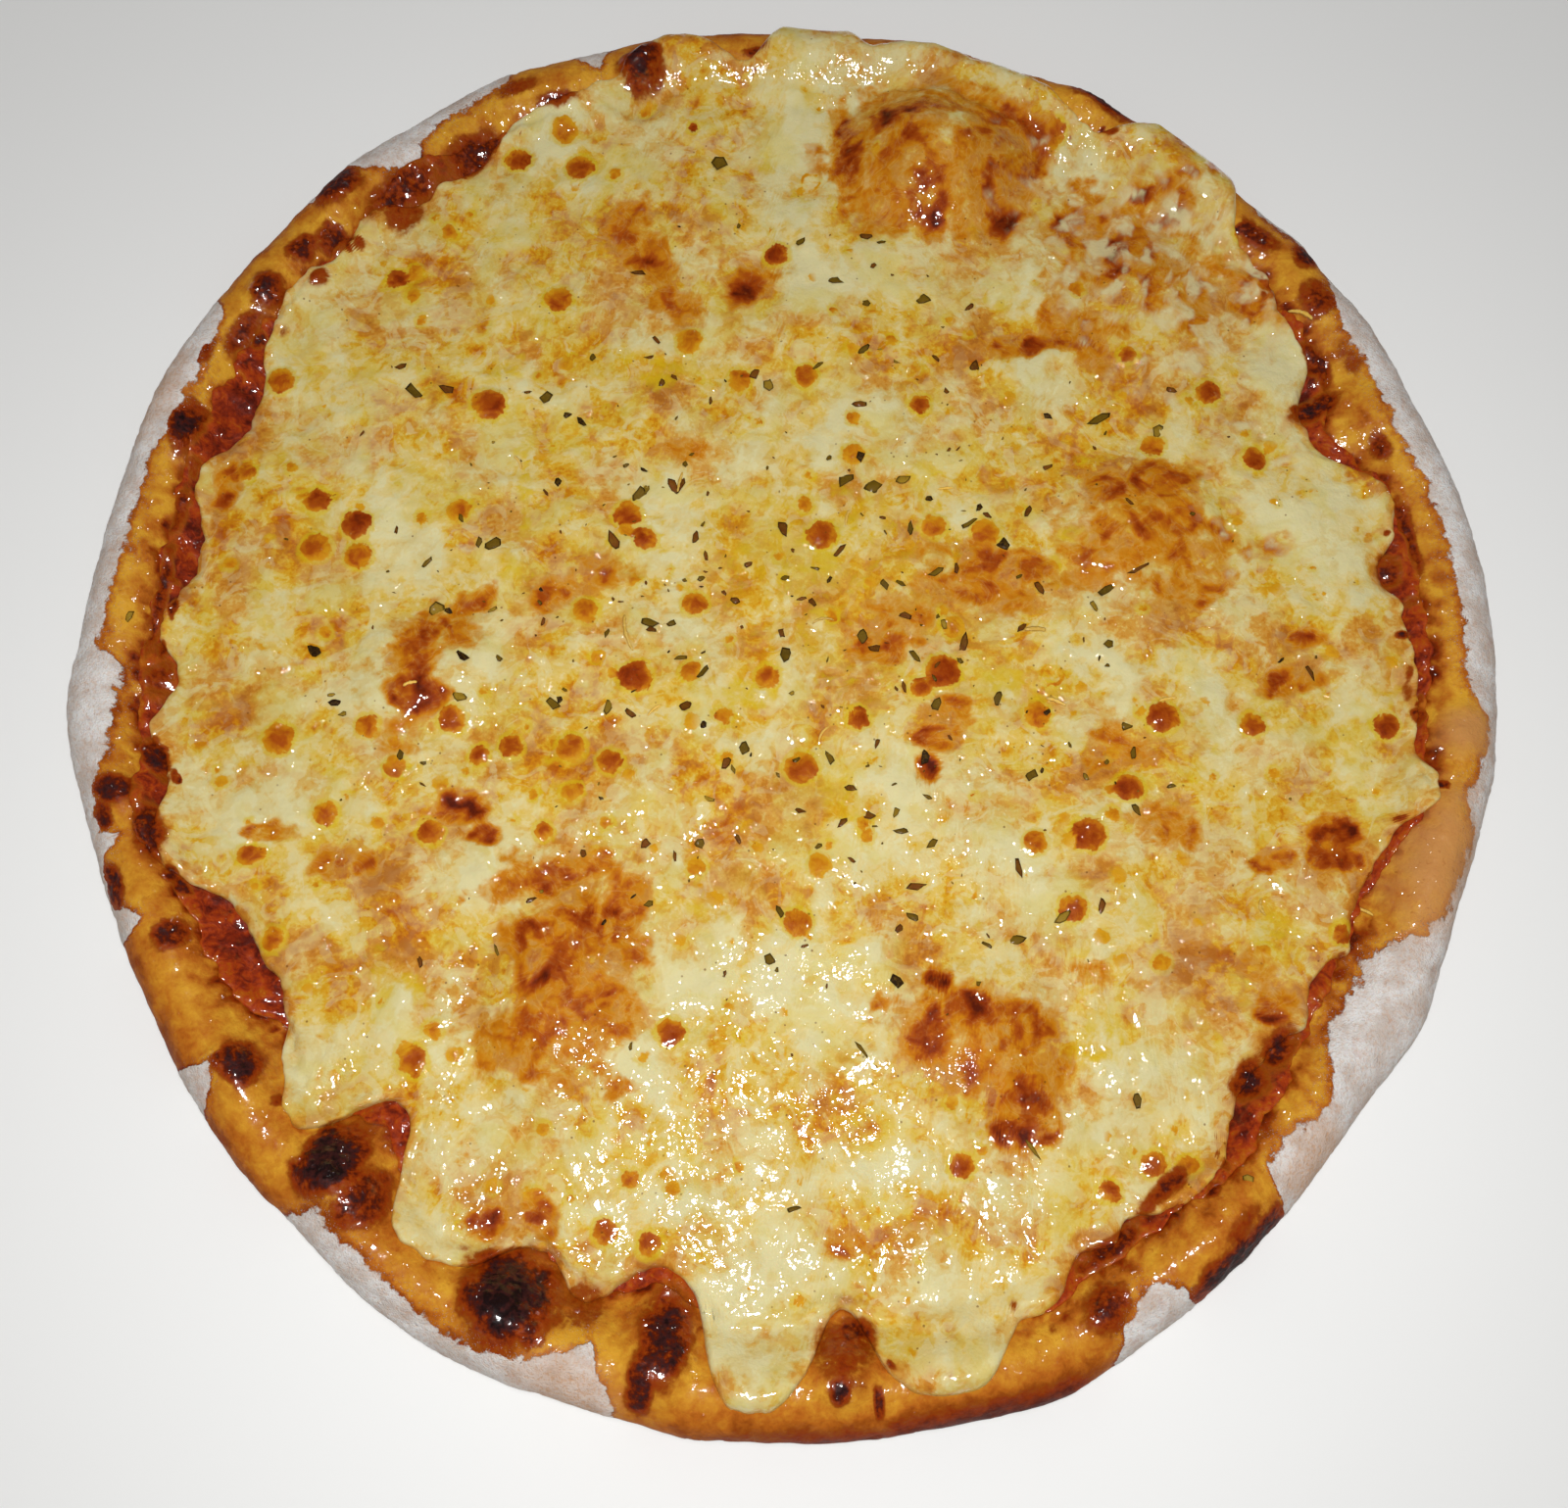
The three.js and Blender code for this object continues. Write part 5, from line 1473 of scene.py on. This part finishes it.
def flour_colour(n, pale, grain):
    """Flour, more or less thick, with the crust's colour in its gaps."""
    powder = n.mix(n.fit(n.noise(5.0, 4.0), 0.3, 0.7), FLOUR_THIN, FLOUR_WHITE)
    thin = n.times_plus(pale, 0.5, n.fit(grain, 0.36, 0.52, 0.25, 0.0))
    return n.mix(thin, powder, PALE_CRUST)


def crust_look():
    n = Looks("crust_look")
    toast, pale, wet = n.field("toast")["Fac"], n.field("pale")["Fac"], n.field("wet")["Fac"]
    flour, burn, base = n.field("flour")["Fac"], n.field("burn")["Fac"], n.field("base")["Fac"]
    mottle, grain = n.noise(2.4, 4.0, 0.55, warp=0.6), n.noise(0.7, 2.0)
    soft, crumb = n.noise(2.0, 4.0), n.noise(0.35, 2.0)
    # how far inside the flour's edge, which is ragged and toasted brown
    ragged = n.sway(n.sway(flour, soft, 2.6), crumb, 1.2)
    margin = n.fit(ragged, -2.2, -0.2, 0.0, 0.42)
    tone = n.sway(n.sway(n.plus(toast, margin), mottle, 0.8), grain, 0.3)
    colour = n.mix(n.times(pale, 0.85), n.ramp(tone, TOASTING), PALE_CRUST)
    freckles = n.fit(n.noise(1.2, 4.0, warp=0.8), 0.6, 0.76, 0.0, 0.4)
    colour = n.burnt(n.mix(freckles, colour, TOASTED), burn, mottle)
    colour = n.mix(base, colour, sole_colour(n, n.fit(soft, 0.5, 0.6)))
    # flour, worn thin in places, and stray dust beyond it
    worn = n.fit(n.noise(3.4, 5.0, 0.65), 0.3, 0.46, 0.75, 1.0)
    thick = n.times(n.fit(ragged, -0.25, 0.35), worn)
    stray = n.times(n.fit(crumb, 0.6, 0.68), n.fit(flour, -5.0, 0.0, 0.0, 0.4))
    white = n.larger(thick, stray)
    colour = n.mix(white, colour, flour_colour(n, pale, grain))
    height = n.times_plus(grain, 0.7, n.times(soft, 0.9))
    height = n.times_plus(n.cells(1.6, "SMOOTH_F1", 0.3), n.times(burn, 1.5), height)
    height = n.plus(height, n.times(white, n.times_plus(crumb, 1.2, 0.3)))
    rough = n.larger(n.fit(wet, 0.0, 1.0, 0.6, 0.45), n.times(white, 0.92))
    gloss = n.times(n.fit(wet, 0.0, 1.0, 0.05, 0.6), n.minus(1.0, white))
    return n.finish({**GLOSSY, "Base Color": colour, "Roughness": n.larger(rough, n.times(base, 0.8)),
                     "Normal": n.bump(height, 0.22), "Coat Weight": gloss, "Coat Roughness": 0.15,
                     "Coat Normal": glints(n, n.plus(wet, burn)), "Subsurface Weight": 0.06,
                     "Subsurface Radius": (1.0, 0.6, 0.3), "Subsurface Scale": 0.001})


def herb_look(name, vein):
    n = Looks(name)
    tint, rim = n.field("tint")["Color"], n.field("rim")["Fac"]
    fine, fleck = n.noise(0.35, 3.0), n.noise(0.9, 3.0, warp=1.2)
    colour = n.mix(n.fit(fleck, 0.4, 0.7, 0.0, 0.45), tint, vein)
    # darker towards each flake's outline: partly its own dark edge, partly painted shade
    colour = n.mix(n.fit(rim, 0.6, 1.0, 0.0, 0.7), colour, HERB_EDGE_AND_SHADE)
    normal = n.bump(n.plus(fine, fleck), 0.12)
    return n.finish({"Base Color": colour, "Roughness": n.fit(fine, 0.3, 0.7, 0.5, 0.8),
                     "Normal": normal, "Specular IOR Level": 0.1, "Coat Weight": 0.08,
                     "Coat Roughness": 0.15})


# ------------------------------------------------------------------- the scene

# (what makes the piece, the node it replaces, its slot, its material)
PIECES = [
    (make_crust, "crust", "crust", crust_look()),
    (make_sauce, "tomato_sauce", "tomato_sauce", sauce_look()),
    (make_cheese, "melted_cheese", "melted_cheese", cheese_look()),
    (make_flakes, "melted_cheese", "oregano", herb_look("oregano_look", HERB_VEIN)),
    (make_stalks, "melted_cheese", "herb_stalk", herb_look("herb_stalk_look", STRAW_VEIN)),
]
for make, node_name, slot_name, look in PIECES:
    piece = make()
    piece.data.materials.append(look)
    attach(piece, "root")
    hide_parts(node_name)


FLOOR_HALF = 3.0
FLOOR_COLOUR = (0.86, 0.86, 0.85, 1.0)
DAYLIGHT = (1.0, 0.99, 0.97, 1.0)
DAYLIGHT_STRENGTH = 0.25
# The lamp beside the camera lights the pizza softly, and its small bright core
# only shows in what is glossy: (name, place, size, power, shine, glow)
LAMPS = [
    ("by_camera", (0.0, -0.1086, 0.315), 0.05, 0.7, False, True),
    ("lamp_core", (-0.005, -0.128, 0.315), 0.035, 1.15, True, False),
    ("overhead", (0.0, -0.2, 1.1), 0.7, 3.0, False, True),
]
CAMERA_PLACE = (-0.75 * MM, -108.6 * MM, 289.4 * MM)
CAMERA_TURNS = (-0.10, 16.69, 2.01)
LENS = 33.75
SENSOR_WIDTH = 36.0
NEAREST_SEEN = 0.01


def make_floor():
    mesh = bpy.data.meshes.new("floor")
    corners = [(-1, -1), (1, -1), (1, 1), (-1, 1)]
    mesh.from_pydata([(FLOOR_HALF * x, FLOOR_HALF * y, 0) for x, y in corners], [], [(0, 1, 2, 3)])
    floor = bpy.data.objects.new("floor", mesh)
    bpy.context.scene.collection.objects.link(floor)
    n = Looks("floor_look")
    mesh.materials.append(n.finish({"Base Color": FLOOR_COLOUR, "Roughness": 0.9}))


def add_light(name, place, size, power, shine, glow):
    """A round lamp that points at the origin."""
    data = bpy.data.lights.new(name, "AREA")
    data.shape = "DISK"
    data.size, data.energy = size, power
    lamp = bpy.data.objects.new(name, data)
    lamp.location = place
    lamp.visible_glossy = shine
    lamp.visible_diffuse = glow
    lamp.rotation_euler = (math.atan2(math.hypot(place[0], place[1]), place[2]), 0.0,
                           math.atan2(place[0], -place[1]))
    bpy.context.scene.collection.objects.link(lamp)


make_floor()
world = bpy.data.worlds.new("studio")
world.use_nodes = True
background = world.node_tree.nodes["Background"]
background.inputs["Color"].default_value = DAYLIGHT
background.inputs["Strength"].default_value = DAYLIGHT_STRENGTH
bpy.context.scene.world = world
world.cycles_visibility.glossy = False
bpy.context.scene.view_settings.view_transform = "Standard"
for lamp_row in LAMPS:
    add_light(*lamp_row)

camera = bpy.data.objects.new("camera", bpy.data.cameras.new("camera"))
camera.data.lens = LENS
camera.data.sensor_width = SENSOR_WIDTH
camera.data.clip_start = NEAREST_SEEN
first, tilt, last = (math.radians(turn) for turn in CAMERA_TURNS)
camera.matrix_world = (Matrix.Translation(CAMERA_PLACE) @ Matrix.Rotation(first, 4, "Z")
                       @ Matrix.Rotation(tilt, 4, "X") @ Matrix.Rotation(last, 4, "Z"))
bpy.context.scene.collection.objects.link(camera)
bpy.context.scene.camera = camera
